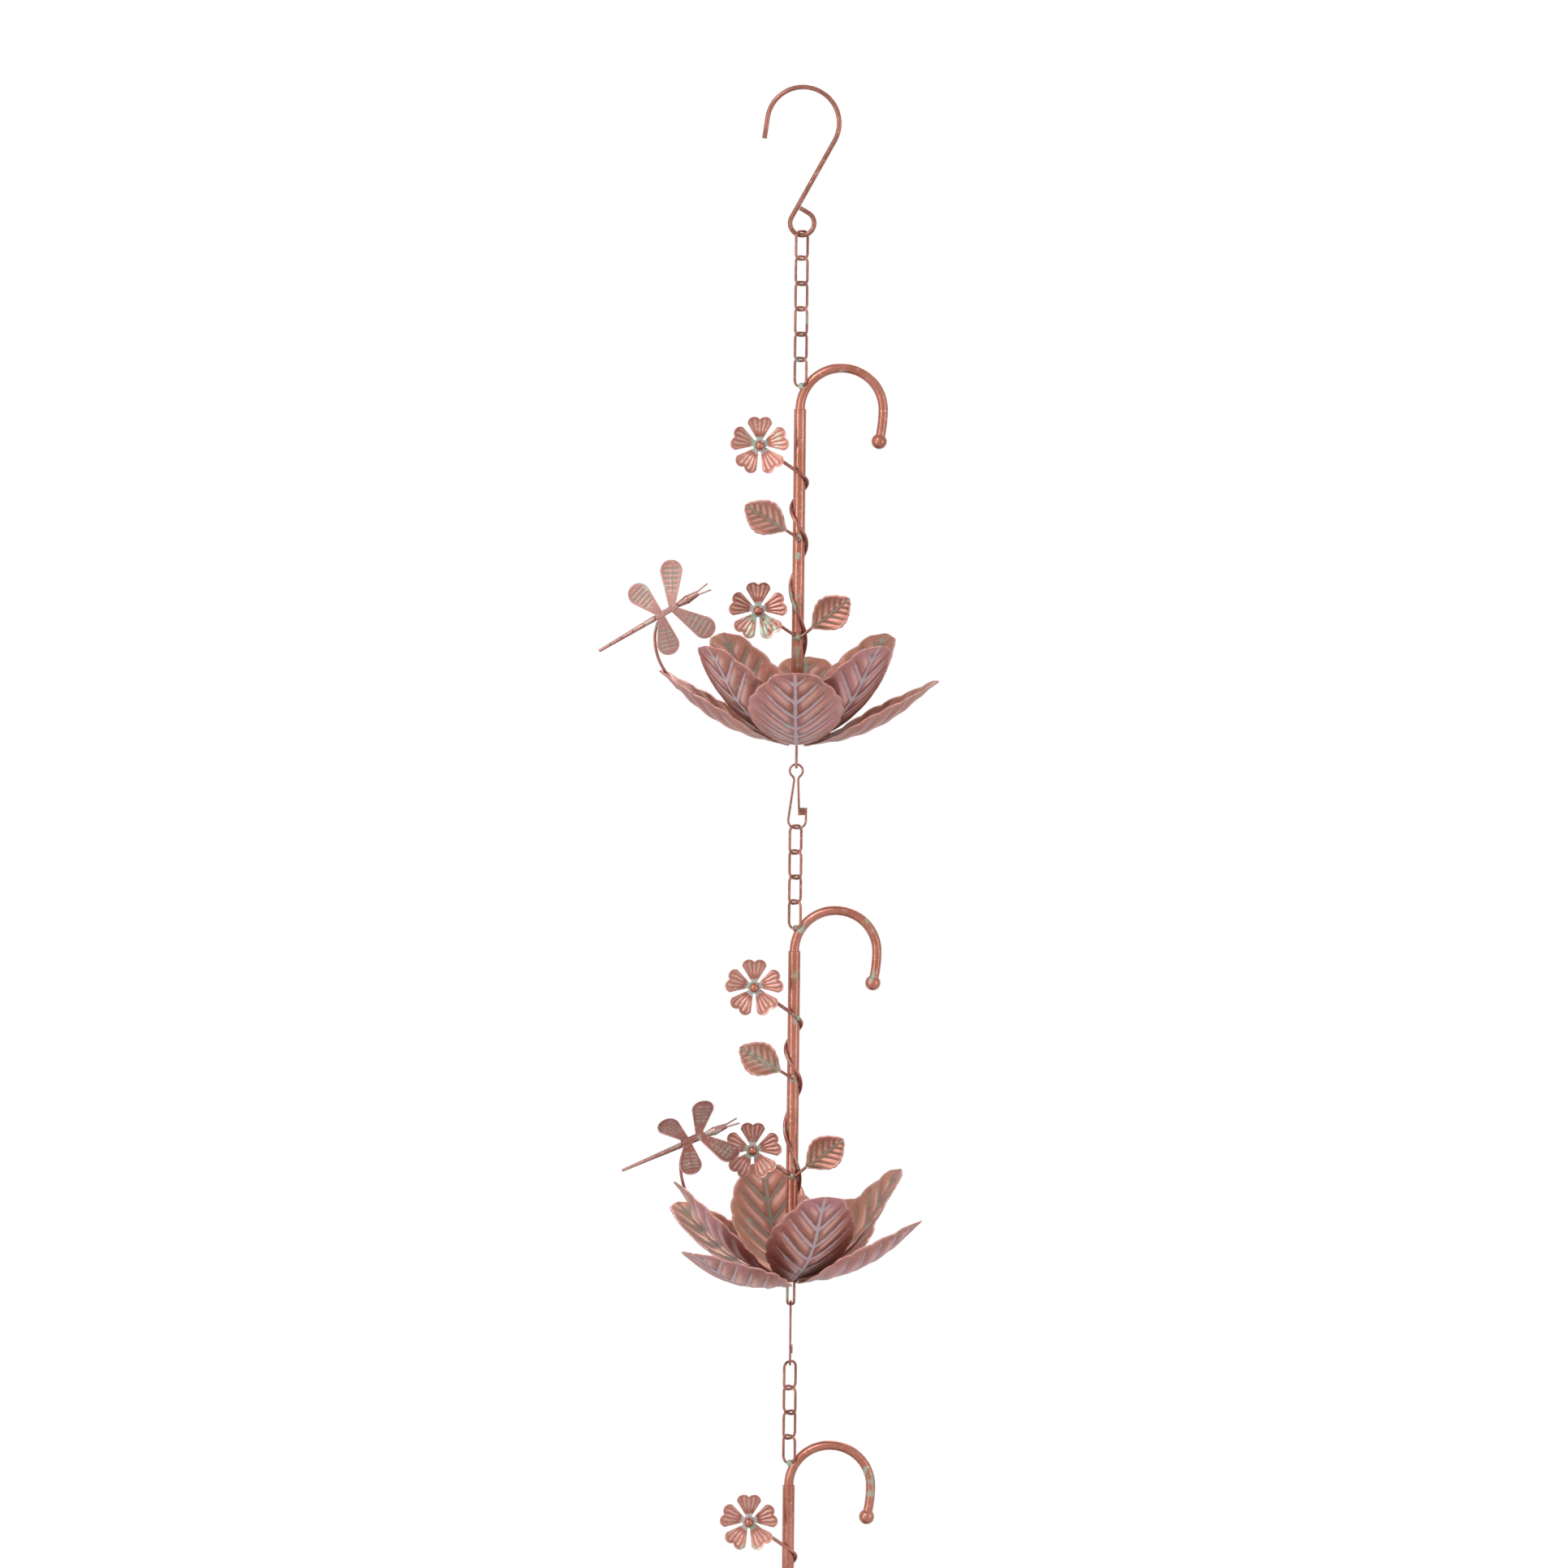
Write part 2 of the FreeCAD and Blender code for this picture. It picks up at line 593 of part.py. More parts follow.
def small_leaf(node_height, heading, side_step):
    """A small leaf with its stem; the stem's end lies on the front of the shaft."""
    blade = stamped_leaf(SMALL_LEAF_CHORD, SMALL_LEAF_HALF_WIDTH, SMALL_LEAF_SWEEP_RADIUS,
                         SMALL_LEAF_CUP_RADIUS, TRIM_SHEET, SMALL_LEAF_RIDGE,
                         SMALL_LEAF_RIDGE_HALF_WIDTH, SMALL_LEAF_SCALLOP_DEPTH)
    below = -(TRIM_SHEET + STEM_WIRE) / 2 + WELD_SINK
    stem_end = Vector(-SMALL_LEAF_STEM, 0, below)
    stem = straight_wire(stem_end, Vector(SMALL_LEAF_STEM_LAP, 0, below), STEM_WIRE)
    leaf = moved(blade.fuse(stem), Vector(SMALL_LEAF_STEM, 0, -below))
    upright = turned(turned(leaf, Vector(1, 0, 0), 90), -ACROSS, heading)
    return moved(upright, stem_node(side_step, node_height))


def perch_leaf(umbrella):
    """The left-hand leaf that carries the dragonfly: its sweep radius, direction, tilt and lift."""
    outer = [(abs(abs(azimuth) - 180), OUTER_SWEEP_RADIUS, azimuth, tilt, 0.0)
             for azimuth, tilt in OUTER_ROWS[umbrella]]
    inner = [(abs(abs(azimuth) - 180), INNER_SWEEP_RADIUS, azimuth, tilt, INNER_LIFT)
             for azimuth, tilt in INNER_ROWS[umbrella]]
    return min(outer + inner)[1:]


def perch_path(umbrella):
    """Centre line of the dragonfly's stem in its leaf's own plane, and its end and heading there."""
    sweep_radius, _, tilt, _ = perch_leaf(umbrella)
    groove = math.atan(LEAF_RIDGE / LEAF_RIDGE_HALF_WIDTH)
    seat = STEM_WIRE / 2 / math.cos(groove) + FIT_GAP
    radius = sweep_radius - LEAF_SHEET / 2 + LEAF_RIDGE - seat
    leaf_end = leaf_sweep_angle(LEAF_CHORD, sweep_radius)
    lap_end = leaf_end - math.degrees(PERCH_TIP_MARGIN / sweep_radius)
    lap = math.degrees(PERCH_LAP / sweep_radius)
    begin = math.radians(lap_end - lap)
    start = (radius * math.sin(begin), sweep_radius - radius * math.cos(begin))
    steps = (
        bend(radius, lap),
        bend(PERCH_RISE_RADIUS, 90 - lap_end - tilt),
        bend(PERCH_CURL_RADIUS, PERCH_CURL_TURN),
    )
    return bent_path(start, lap_end - lap, steps)


def on_perch(shape, umbrella):
    """A shape drawn in the leaf's own plane, lifted and turned with the leaf that carries it."""
    _, azimuth, tilt, lift = perch_leaf(umbrella)
    return turned(moved(turned(shape, -ACROSS, tilt), UPRIGHT * lift), UPRIGHT, azimuth)


def dragonfly_stem(umbrella):
    """The stem that rises from the leaf's tip and curls over to carry the dragonfly."""
    edges, _, _ = perch_path(umbrella)
    return on_perch(round_wire(edges, STEM_WIRE), umbrella)


def tail_segment(back, front, narrow_back, narrow_front):
    """Outline of one tail segment: a quick swell, a straight back and a quick narrowing."""
    rise = DRAGONFLY_SEGMENT_SWELL * narrow_back
    fall = DRAGONFLY_SEGMENT_SWELL * narrow_front
    corner = math.sqrt(0.5)
    swell = Vector(back + rise, 0, narrow_back + rise)
    ebb = Vector(front - fall, 0, narrow_front + fall)
    first = arc(Vector(back, 0, narrow_back), swell + Vector(-rise * corner, 0, rise * (corner - 1)), swell)
    last = arc(ebb, ebb + Vector(fall * corner, 0, fall * (corner - 1)), Vector(front, 0, narrow_front))
    return [first, line(swell, ebb), last]


def dragonfly_body():
    """Tail of round segments, thorax, spindle head and two feelers, along +X from the wings' root."""
    length = DRAGONFLY_TAIL / DRAGONFLY_SEGMENTS
    widening = (DRAGONFLY_WAIST_RADIUS - DRAGONFLY_TAIL_RADIUS) / DRAGONFLY_SEGMENTS
    tail_tip = Vector(-DRAGONFLY_TAIL, 0, 0)
    edges = [line(tail_tip, tail_tip + UPRIGHT * DRAGONFLY_TAIL_RADIUS)]
    for number in range(DRAGONFLY_SEGMENTS):
        back = number * length - DRAGONFLY_TAIL
        narrow = DRAGONFLY_TAIL_RADIUS + number * widening
        edges += tail_segment(back, back + length, narrow, narrow + widening)
    edges += tail_segment(0, DRAGONFLY_THORAX, DRAGONFLY_WAIST_RADIUS, DRAGONFLY_WAIST_RADIUS)
    neck = Vector(DRAGONFLY_THORAX, 0, DRAGONFLY_WAIST_RADIUS)
    face_end = Vector(DRAGONFLY_THORAX + DRAGONFLY_HEAD_LENGTH, 0, 0)
    eyes = (neck + face_end) / 2
    eyes.z = 0
    slope = math.radians(DRAGONFLY_HEAD_ROUND)
    behind = eyes + Vector(-math.sin(slope), 0, math.cos(slope)) * DRAGONFLY_HEAD_RADIUS
    before = eyes + Vector(math.sin(slope), 0, math.cos(slope)) * DRAGONFLY_HEAD_RADIUS
    snout = face_end + UPRIGHT * DRAGONFLY_SNOUT_RADIUS
    edges += [
        line(neck, behind),
        arc(behind, eyes + UPRIGHT * DRAGONFLY_HEAD_RADIUS, before),
        line(before, snout),
        line(snout, face_end),
        line(face_end, tail_tip),
    ]
    solid = face_of(edges).revolve(Vector(), Vector(1, 0, 0), 360)
    for side in (1, -1):
        root = face_end + Vector(-DRAGONFLY_FEELER_LAP, side * DRAGONFLY_FEELER_PITCH / 2, 0)
        spread = math.radians(side * DRAGONFLY_FEELER_SPREAD)
        way = Vector(math.cos(spread), math.sin(spread), 0)
        tip = root + way * (DRAGONFLY_FEELER_LAP + DRAGONFLY_FEELER)
        solid = solid.fuse(straight_wire(root, tip, DRAGONFLY_FEELER_WIRE))
    return solid


def wing(length, sweep):
    """One flat teardrop wing towards +Y, swept forward by an angle."""
    far = length - WING_TIP_RADIUS
    lean = math.asin((WING_TIP_RADIUS - WING_ROOT_RADIUS) / far)
    tip_out = Vector(math.cos(lean), -math.sin(lean), 0)
    root_right = tip_out * WING_ROOT_RADIUS
    tip_right = tip_out * WING_TIP_RADIUS + ACROSS * far
    root_left = Vector(-root_right.x, root_right.y, 0)
    tip_left = Vector(-tip_right.x, tip_right.y, 0)
    edges = [
        line(root_right, tip_right),
        arc(tip_right, Vector(0, length, 0), tip_left),
        line(tip_left, root_left),
        arc(root_left, Vector(0, -WING_ROOT_RADIUS, 0), root_right),
    ]
    return turned(face_of(edges).extrude(UPRIGHT * TRIM_SHEET), UPRIGHT, -sweep)


def dragonfly_wings():
    """Four wings pressed from one sheet, drooping from a saddle strip on the dragonfly's back."""
    pieces = []
    for length, sweep in (FORE_WING, HIND_WING):
        place = Vector(math.copysign(WING_PITCH / 2, sweep), 0, 0)
        left = turned(moved(wing(length, sweep), place), Vector(1, 0, 0), -WING_DROOP)
        right = left.mirror(Vector(), ACROSS)
        pieces += [left, right]
    corner = Vector(-WING_SADDLE / 2, -WING_ROOT_RADIUS, 0)
    saddle = Part.makeBox(WING_SADDLE, 2 * WING_ROOT_RADIUS, TRIM_SHEET, corner)
    return saddle.fuse(pieces).removeSplitter()


def dragonfly_place(shape, umbrella, roll):
    """A dragonfly piece drawn along +X, rolled and set against the front of its stem's end."""
    _, end, _ = perch_path(umbrella)
    side = STEM_WIRE / 2 + FIT_GAP + DRAGONFLY_BODY_RADIUS
    rolled = turned(shape, Vector(1, 0, 0), 90 - roll)
    aimed = turned(rolled, -ACROSS, DRAGONFLY_HEADING)
    mirrored = turned(aimed, UPRIGHT, 180)
    return on_perch(moved(mirrored, Vector(end.x, side, end.z)), umbrella)


def umbrella_pieces(umbrella, hanger_angle, eye_angle):
    """All pieces of one umbrella, by name, drawn with the cup's underside at z = 0."""
    handle = crook()
    outer_leaf = cup_leaf(OUTER_HALF_WIDTH, OUTER_SWEEP_RADIUS, OUTER_CUP_RADIUS)
    inner_leaf = cup_leaf(INNER_HALF_WIDTH, INNER_SWEEP_RADIUS, INNER_CUP_RADIUS)
    roll = DRAGONFLY_ROLLS[umbrella]
    wing_seat = UPRIGHT * (DRAGONFLY_BODY_RADIUS + FIT_GAP)
    beads = [facing_front(bead(), place) for place in (upper_flower_place(), lower_flower_place())]
    return {
        "shaft": shaft(),
        "crook": handle,
        "hanger_link": hanger_link(hanger_angle, handle),
        "lower_eye": lower_eye(eye_angle),
        "outer_leaves": leaf_row(outer_leaf, OUTER_ROWS[umbrella], 0.0),
        "inner_leaves": leaf_row(inner_leaf, INNER_ROWS[umbrella], INNER_LIFT),
        "vine": vine(),
        "upper_flower": facing_front(flower(), upper_flower_place()),
        "lower_flower": lower_flower(),
        "flower_beads": Part.makeCompound(beads),
        "upper_leaf": small_leaf(UPPER_LEAF_NODE, UPPER_LEAF_HEADING, 0.0),
        "lower_leaf": small_leaf(LOWER_LEAF_NODE, LOWER_LEAF_HEADING, STEM_SIDE_STEP),
        "dragonfly_stem": dragonfly_stem(umbrella),
        "dragonfly_body": dragonfly_place(dragonfly_body(), umbrella, roll),
        "dragonfly_wings": dragonfly_place(moved(dragonfly_wings(), wing_seat), umbrella, roll),
    }


def top_on(bar, wire):
    """Height of the upper bar of a wire that hangs over a bar."""
    height, bar_wire, _ = bar
    return height + (bar_wire + wire) / 2 + HANGING_GAP


def rain_chain():
    """Every piece by name, and the bar that each hanging body swings on: height, wire and direction."""
    pieces = {"hook": hook()}
    hinges = {}
    bar = (HOOK_EYE_HEIGHT - HOOK_EYE_RADIUS, HOOK_WIRE, 0.0)
    for umbrella in range(UMBRELLAS):
        mark = umbrella + 1
        if umbrella:
            name = f"snap_clip_{umbrella}"
            top = top_on(bar, CLIP_WIRE)
            angle = bar[2] + 90
            pieces[name] = turned(snap_clip(top), UPRIGHT, angle)
            hinges[name] = bar
            bar = (top - (CLIP_LENGTH - CLIP_WIRE), CLIP_WIRE, angle)
        for number in range(LOWER_LINKS if umbrella else TOP_LINKS):
            name = f"chain_{mark}_link_{number + 1}"
            top = top_on(bar, LINK_WIRE)
            angle = LINK_PLANE_ANGLE * (-1) ** number
            pieces[name] = turned(link(top), UPRIGHT, angle)
            hinges[name] = bar
            bar = (top - LINK_CENTRE_LENGTH, LINK_WIRE, angle)
        base = top_on(bar, LINK_WIRE) - LINK_CENTRE_LENGTH - weld_height()
        hinges[f"shaft_{mark}"] = bar
        eye_angle = EYE_ANGLES[umbrella]
        for name, shape in umbrella_pieces(umbrella, -bar[2], eye_angle).items():
            pieces[f"{name}_{mark}"] = moved(shape, UPRIGHT * base)
        bar = (base - EYE_DROP, EYE_WIRE, eye_angle)
    return pieces, hinges


def main():
    """Write each piece to its own file."""
    os.makedirs("parts", exist_ok=True)
    pieces, _ = rain_chain()
    for name, shape in pieces.items():
        shape.exportStep(f"parts/{name}.step")


if __name__ == "__main__":
    main()
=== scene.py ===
import math

import bmesh
import bpy
from mathutils import Matrix, Vector, noise


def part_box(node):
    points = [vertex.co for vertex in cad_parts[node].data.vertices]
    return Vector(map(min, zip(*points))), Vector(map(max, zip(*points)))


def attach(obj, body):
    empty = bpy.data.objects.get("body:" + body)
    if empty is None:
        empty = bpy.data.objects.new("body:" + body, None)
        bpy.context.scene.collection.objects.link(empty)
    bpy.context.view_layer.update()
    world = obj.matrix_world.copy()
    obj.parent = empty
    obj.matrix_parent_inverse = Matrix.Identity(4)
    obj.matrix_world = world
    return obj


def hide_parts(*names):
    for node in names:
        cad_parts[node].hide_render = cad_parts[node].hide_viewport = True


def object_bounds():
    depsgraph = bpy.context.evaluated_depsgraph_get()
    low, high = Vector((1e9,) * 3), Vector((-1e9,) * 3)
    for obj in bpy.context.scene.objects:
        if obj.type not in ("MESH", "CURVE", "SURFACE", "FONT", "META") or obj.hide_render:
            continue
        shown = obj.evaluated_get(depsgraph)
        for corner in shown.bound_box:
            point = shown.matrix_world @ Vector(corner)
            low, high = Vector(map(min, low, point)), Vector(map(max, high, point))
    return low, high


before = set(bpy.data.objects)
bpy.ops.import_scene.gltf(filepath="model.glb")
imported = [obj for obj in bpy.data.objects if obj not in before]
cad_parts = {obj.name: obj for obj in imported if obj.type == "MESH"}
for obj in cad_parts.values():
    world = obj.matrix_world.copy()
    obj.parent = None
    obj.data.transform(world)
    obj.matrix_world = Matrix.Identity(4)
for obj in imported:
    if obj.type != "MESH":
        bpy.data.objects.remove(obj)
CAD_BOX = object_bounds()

# Sizes in millimetres, as the pieces are made
MM = 0.001
SHAFT_RADIUS = 4.1
STEM_WIRE = 2.0
FIT_GAP = 0.1
TRIM_SHEET = 0.6
LEAF_SHEET = 0.7
WELD_SINK = 0.15

# Cup leaves: direction round the shaft and lift of each leaf
LEAF_CHORD = 108.0
LEAF_WIDEST = 0.52
LEAF_SCALLOPS = 7
LEAF_SCALLOP_DEPTH = 1.3
LEAF_RIDGE = 0.9
LEAF_RIDGE_HALF_WIDTH = 1.9
OUTER_SHAPE = {"half_width": 31.0, "sweep": 108.0, "cup": 50.0, "base": 0.8, "tip": 0.65}
INNER_SHAPE = {"half_width": 29.0, "sweep": 95.0, "cup": 46.0, "base": 0.8, "tip": 0.65}
INNER_LIFT = 1.6
OUTER_ROWS = {
    1: ((180, 0), (-91, 4), (-2, -3), (86, 2)),
    2: ((-131, -11), (-22, -1), (62, -3), (147, -2)),
    3: ((180, 0), (-91, 4), (-2, -3), (86, 2)),
}
INNER_ROWS = {
    1: ((-47, 10), (41, 10), (129, 9), (-138, 9)),
    2: ((-74, 9), (17, 12), (105, 9), (-167, 9)),
    3: ((-47, 10), (41, 10), (129, 9), (-138, 9)),
}
LEAF_GRID = (112, 48)
LEAF_BASE_GAP = 0.2
LEAF_END = 0.965
LEAF_END_ROUND = 0.03
SIDE_VEINS = 6.6
VEIN_LEAN = 2.0
VEIN_START = 0.35
VEIN_HEIGHT = 0.55
PLEAT_HEIGHT = 1.5
PLEAT_CREST = 0.72
FLARE_START = 0.72
OUTER_FLARE = 2.2
INNER_FLARE = 6.0

# Small leaves
SMALL_CHORD = 36.0
SMALL_SHAPE = {"half_width": 11.6, "sweep": 70.0, "cup": 26.0, "base": 1.0, "tip": 1.0}
SMALL_RIDGE = 0.4
SMALL_RIDGE_HALF_WIDTH = 0.9
SMALL_SCALLOP_DEPTH = 0.5
SMALL_STEM = 9.0
SMALL_STEM_LAP = 5.0
SMALL_GRID = (60, 30)
SMALL_BASE = 0.02
SMALL_RELIEF = 0.55
SMALL_LEAVES = {"upper_leaf": (140.0, 148.0, 0.0), "lower_leaf": (73.0, 40.0, 1.7)}

# Flowers
FLOWER_REACH = 27.0
FLOWER_DISH = 62.0
FLOWER_HUB = 4.4
HUB_HOLE = 1.1
HUB_CROWN = 0.18
HUB_GRID = (6, 48)
PETALS = 5
PETAL_ROOT = (3.4, 1.5)
PETAL_WAIST = (9.1, 4.9)
PETAL_SHOULDER = (14.8, 8.2)
PETAL_LOBE = (19.3, 4.6)
PETAL_NOTCH = (17.6, 0.0)
PETAL_RIBS = 5
PETAL_RIB_HEIGHT = 0.42
PETAL_LAP = 0.6
PETAL_LIP = 0.25
PETAL_GRID = (40, 36)
VINE_TOP = 184.0
VINE_WIRE = 2.4
VINE_FIRST_DROP = 23.5
LOWER_FLOWER_NODE = 74.0
LOWER_FLOWER_RISE = 17.0
STEM_SIDE_STEP = 1.7

# Dragonflies
PERCH_LAP = 16.0
PERCH_TIP_MARGIN = 5.0
PERCH_RISE_RADIUS = 40.0
PERCH_CURL_RADIUS = 24.0
PERCH_CURL_TURN = 48.0
PERCHES = {1: (108.0, 180, 0, 0.0), 2: (95.0, -167, 9, 1.6), 3: (108.0, 180, 0, 0.0)}
DRAGONFLY_BODY_RADIUS = 2.1
DRAGONFLY_HEADING = 31.0
DRAGONFLY_ROLLS = {1: 4.0, 2: 52.0, 3: 4.0}
WINGS = ((33.0, 29.0), (28.0, -17.0))
WING_TIP_RADIUS = 7.6
WING_ROOT_RADIUS = 1.8
WING_DROOP = 7.0
WING_PITCH = 8.5
WING_SADDLE = 17.0
WING_BARS = 6
WING_RELIEF = 0.3
WING_GRID = (72, 28)
SADDLE_CROWN = 0.15
SADDLE_GRID = (24, 8)

# Solder: grid and lumpiness of a blob, and half sizes on the hanger link and the two leaf stems
BLOB_GRID = (10, 18)
BLOB_LUMPS = 0.28
HANGER_BLOB = (2.9, 2.6, 2.4)
LEAF_BLOBS = {"upper_leaf": (2.4, 1.7, 2.9), "lower_leaf": (3.1, 1.8, 2.4)}

# Photo framing, in pixels of the square photo and in metres
PHOTO_SIZE = 1932
PHOTO_PITCH = 0.00055
HOOK_TOP_ROW = 113.7
SHAFT_COLUMN = 981
CAMERA_DISTANCE = 5.0
CAMERA_ELEVATION = 5.5
CAMERA_ROLL = 0.6
SENSOR = 36.0

# Studio, in metres and watts: place, aim, width and height, and power of each light
LIGHTS = {
    "key_light": ((-1.5, -2.4, 1.7), (0, 0, -0.5), (1.3, 1.3), 48),
    "left_panel": ((-2.2, -2.0, -0.7), (0, 0, -0.7), (0.45, 2.4), 30),
    "right_panel": ((2.4, -1.5, -0.7), (0, 0, -0.7), (0.3, 2.4), 20),
    "back_light": ((0.6, 2.4, 1.4), (0, 0, -0.5), (1.6, 1.6), 36),
}
ROOM_LIGHT = 0.25
WHITE_RAYS = ("Camera", "Glossy", "Transmission")
FLOOR_DROP = 0.16
FLOOR_SIDES = (-2.2, 2.2, -2.4, 1.3)
FLOOR_WHITE = 0.8
FLOOR_FADE = (0.45, 1.2)


def srgb(red, green, blue):
    """A colour given in picture values, as light."""
    def light(value):
        value /= 255
        return value / 12.92 if value <= 0.04045 else ((value + 0.055) / 1.055) ** 2.4
    return (light(red), light(green), light(blue), 1.0)


COPPER = srgb(186, 122, 106)
COPPER_DEEP = srgb(128, 74, 64)
COPPER_BRIGHT = srgb(228, 184, 172)
COPPER_GOLD = srgb(198, 140, 112)
MAUVE = srgb(196, 136, 142)
LAVENDER = srgb(208, 192, 200)
ROSE_EDGE = srgb(230, 178, 168)
VERDIGRIS = srgb(168, 196, 174)
GREY_GREEN = srgb(150, 158, 142)
# Painted shade: the dark brown laid into the base of the cup's leaves, where shade falls inside the cup.
PAINTED_SHADE_BROWN = srgb(58, 32, 28)
LEAF_DEEP = srgb(156, 96, 84)
WIRE_COPPER = srgb(176, 114, 98)
WIRE_DEEP = srgb(122, 74, 62)
ROD_DEEP = srgb(160, 96, 76)
DRAGONFLY_PINK = srgb(192, 146, 138)
DRAGONFLY_DEEP = srgb(146, 98, 92)
PALE_WING = srgb(190, 144, 136)
PALE_WING_DEEP = srgb(152, 104, 98)
RED_WING = srgb(162, 102, 94)
RED_WING_DEEP = srgb(110, 62, 58)


class Value:
    """A shader socket that takes part in Python arithmetic."""

    def __init__(self, nodes, socket):
        self.nodes = nodes
        self.socket = socket

    def maths(self, operation, *terms):
        return self.nodes.node("ShaderNodeMath", {"operation": operation}, dict(enumerate(terms)))

    def __add__(self, other):
        return self.maths("ADD", self, other)

    def __sub__(self, other):
        return self.maths("SUBTRACT", self, other)

    def __rsub__(self, other):
        return self.maths("SUBTRACT", other, self)

    def __mul__(self, other):
        return self.maths("MULTIPLY", self, other)

    def most(self, other):
        """The larger of two values."""
        return self.maths("MAXIMUM", self, other)

    __radd__ = __add__
    __rmul__ = __mul__


class Nodes:
    """A node tree that is built from expressions."""

    def __init__(self, holder):
        holder.use_nodes = True
        self.tree = holder.node_tree

    def node(self, kind, settings, sockets, output=0):
        """A node with its settings and its sockets' values or links, and one of its outputs."""
        made = self.tree.nodes.new(kind)
        for name, setting in settings.items():
            setattr(made, name, setting)
        for key, value in sockets.items():
            self.join(made.inputs[key], value)
        return Value(self, made.outputs[output])

    def join(self, socket, value):
        """Link a socket to a value, or set it to a number or colour."""
        if isinstance(value, Value):
            self.tree.links.new(value.socket, socket)
        else:
            socket.default_value = value

    def studio_white(self, strength):
        """The share of rays that see the studio as plain white: straight, mirrored and through glass."""
        rays = [self.node("ShaderNodeLightPath", {}, {}, f"Is {ray} Ray") for ray in WHITE_RAYS]
        return rays[0].most(rays[1]).most(rays[2]) * strength


class Finish(Nodes):
    """A material with a principled shader."""

    def __init__(self, name):
        self.material = bpy.data.materials.new(name)
        super().__init__(self.material)
        self.shader = self.tree.nodes["Principled BSDF"]

    def place(self, upright):
        """Place on the piece, with heights counted less so that marks run along the chain."""
        whole = self.node("ShaderNodeTexCoord", {}, {}, "Object")
        sockets = {0: whole, 1: (1.0, 1.0, upright)}
        return self.node("ShaderNodeVectorMath", {"operation": "MULTIPLY"}, sockets)

    def cloud(self, scale, detail=3.0, roughness=0.55, upright=1.0):
        """Soft noise, with its scale in lumps a metre."""
        sockets = {"Vector": self.place(upright), "Scale": scale, "Detail": detail, "Roughness": roughness}
        return self.node("ShaderNodeTexNoise", {}, sockets, "Fac")

    def mark(self, name):
        """A mark that the mesh carries, from 0 to 1."""
        return self.node("ShaderNodeAttribute", {"attribute_name": name}, {}, "Fac")

    def rise(self, value, low, high):
        """0 below one value, 1 above another, smooth between."""
        sockets = {"Value": value, "From Min": low, "From Max": high}
        return self.node("ShaderNodeMapRange", {"interpolation_type": "SMOOTHSTEP"}, sockets)

    def blend(self, share, first, second):
        """A colour between two colours."""
        settings = {"data_type": "RGBA"}
        return self.node("ShaderNodeMix", settings, {0: share, 6: first, 7: second}, 2)

    def bump(self, height, strength, distance):
        sockets = {"Strength": strength, "Distance": distance, "Height": height}
        return self.node("ShaderNodeBump", {}, sockets, "Normal")

    def paint(self, **sockets):
        """The material, once its shader's sockets are set."""
        for name, value in sockets.items():
            self.join(self.shader.inputs[name.replace("_", " ")], value)
        return self.material


def copper_coat(finish, light, dark):
    """Colour of the rubbed copper paint, and its fine grain."""
    drift = finish.rise(finish.cloud(38.0, 4.0), 0.3, 0.7)
    grain = finish.cloud(1500.0, 2.0, 0.7)
    tone = finish.blend(drift * 0.75 + grain * 0.25, dark, light)
    worn = finish.rise(finish.cloud(420.0, 3.0), 0.56, 0.74)
    return finish.blend(worn * 0.4, tone, COPPER_BRIGHT), grain


def patina_spots(finish, amount, upright=1.0):
    """Where verdigris lies: broad patches broken up by fine ones."""
    broad = finish.rise(finish.cloud(46.0, 2.0), 0.64 - 0.14 * amount, 0.72 - 0.14 * amount)
    fine = finish.rise(finish.cloud(260.0, 4.0, upright=upright), 0.42, 0.6)
    return broad * fine


def wire_paint(name, light, dark, patina):
    """Copper paint on wire and rod, with verdigris in patches."""
    finish = Finish(name)
    coat, grain = copper_coat(finish, light, dark)
    spots = patina_spots(finish, patina, 0.3)
    scuffs = finish.rise(finish.cloud(700.0, 5.0, 0.7, 0.3), 0.6, 0.72)
    colour = finish.blend(spots * 0.8, finish.blend(scuffs * 0.25, coat, COPPER_DEEP), VERDIGRIS)
    return finish.paint(
        Base_Color=colour,
        Metallic=0.6 - 0.5 * spots,
        Roughness=0.22 + 0.14 * grain + 0.34 * spots,
        Normal=finish.bump(grain * 0.4 + finish.cloud(260.0) + spots * 0.3, 0.3, 0.0004),
    )


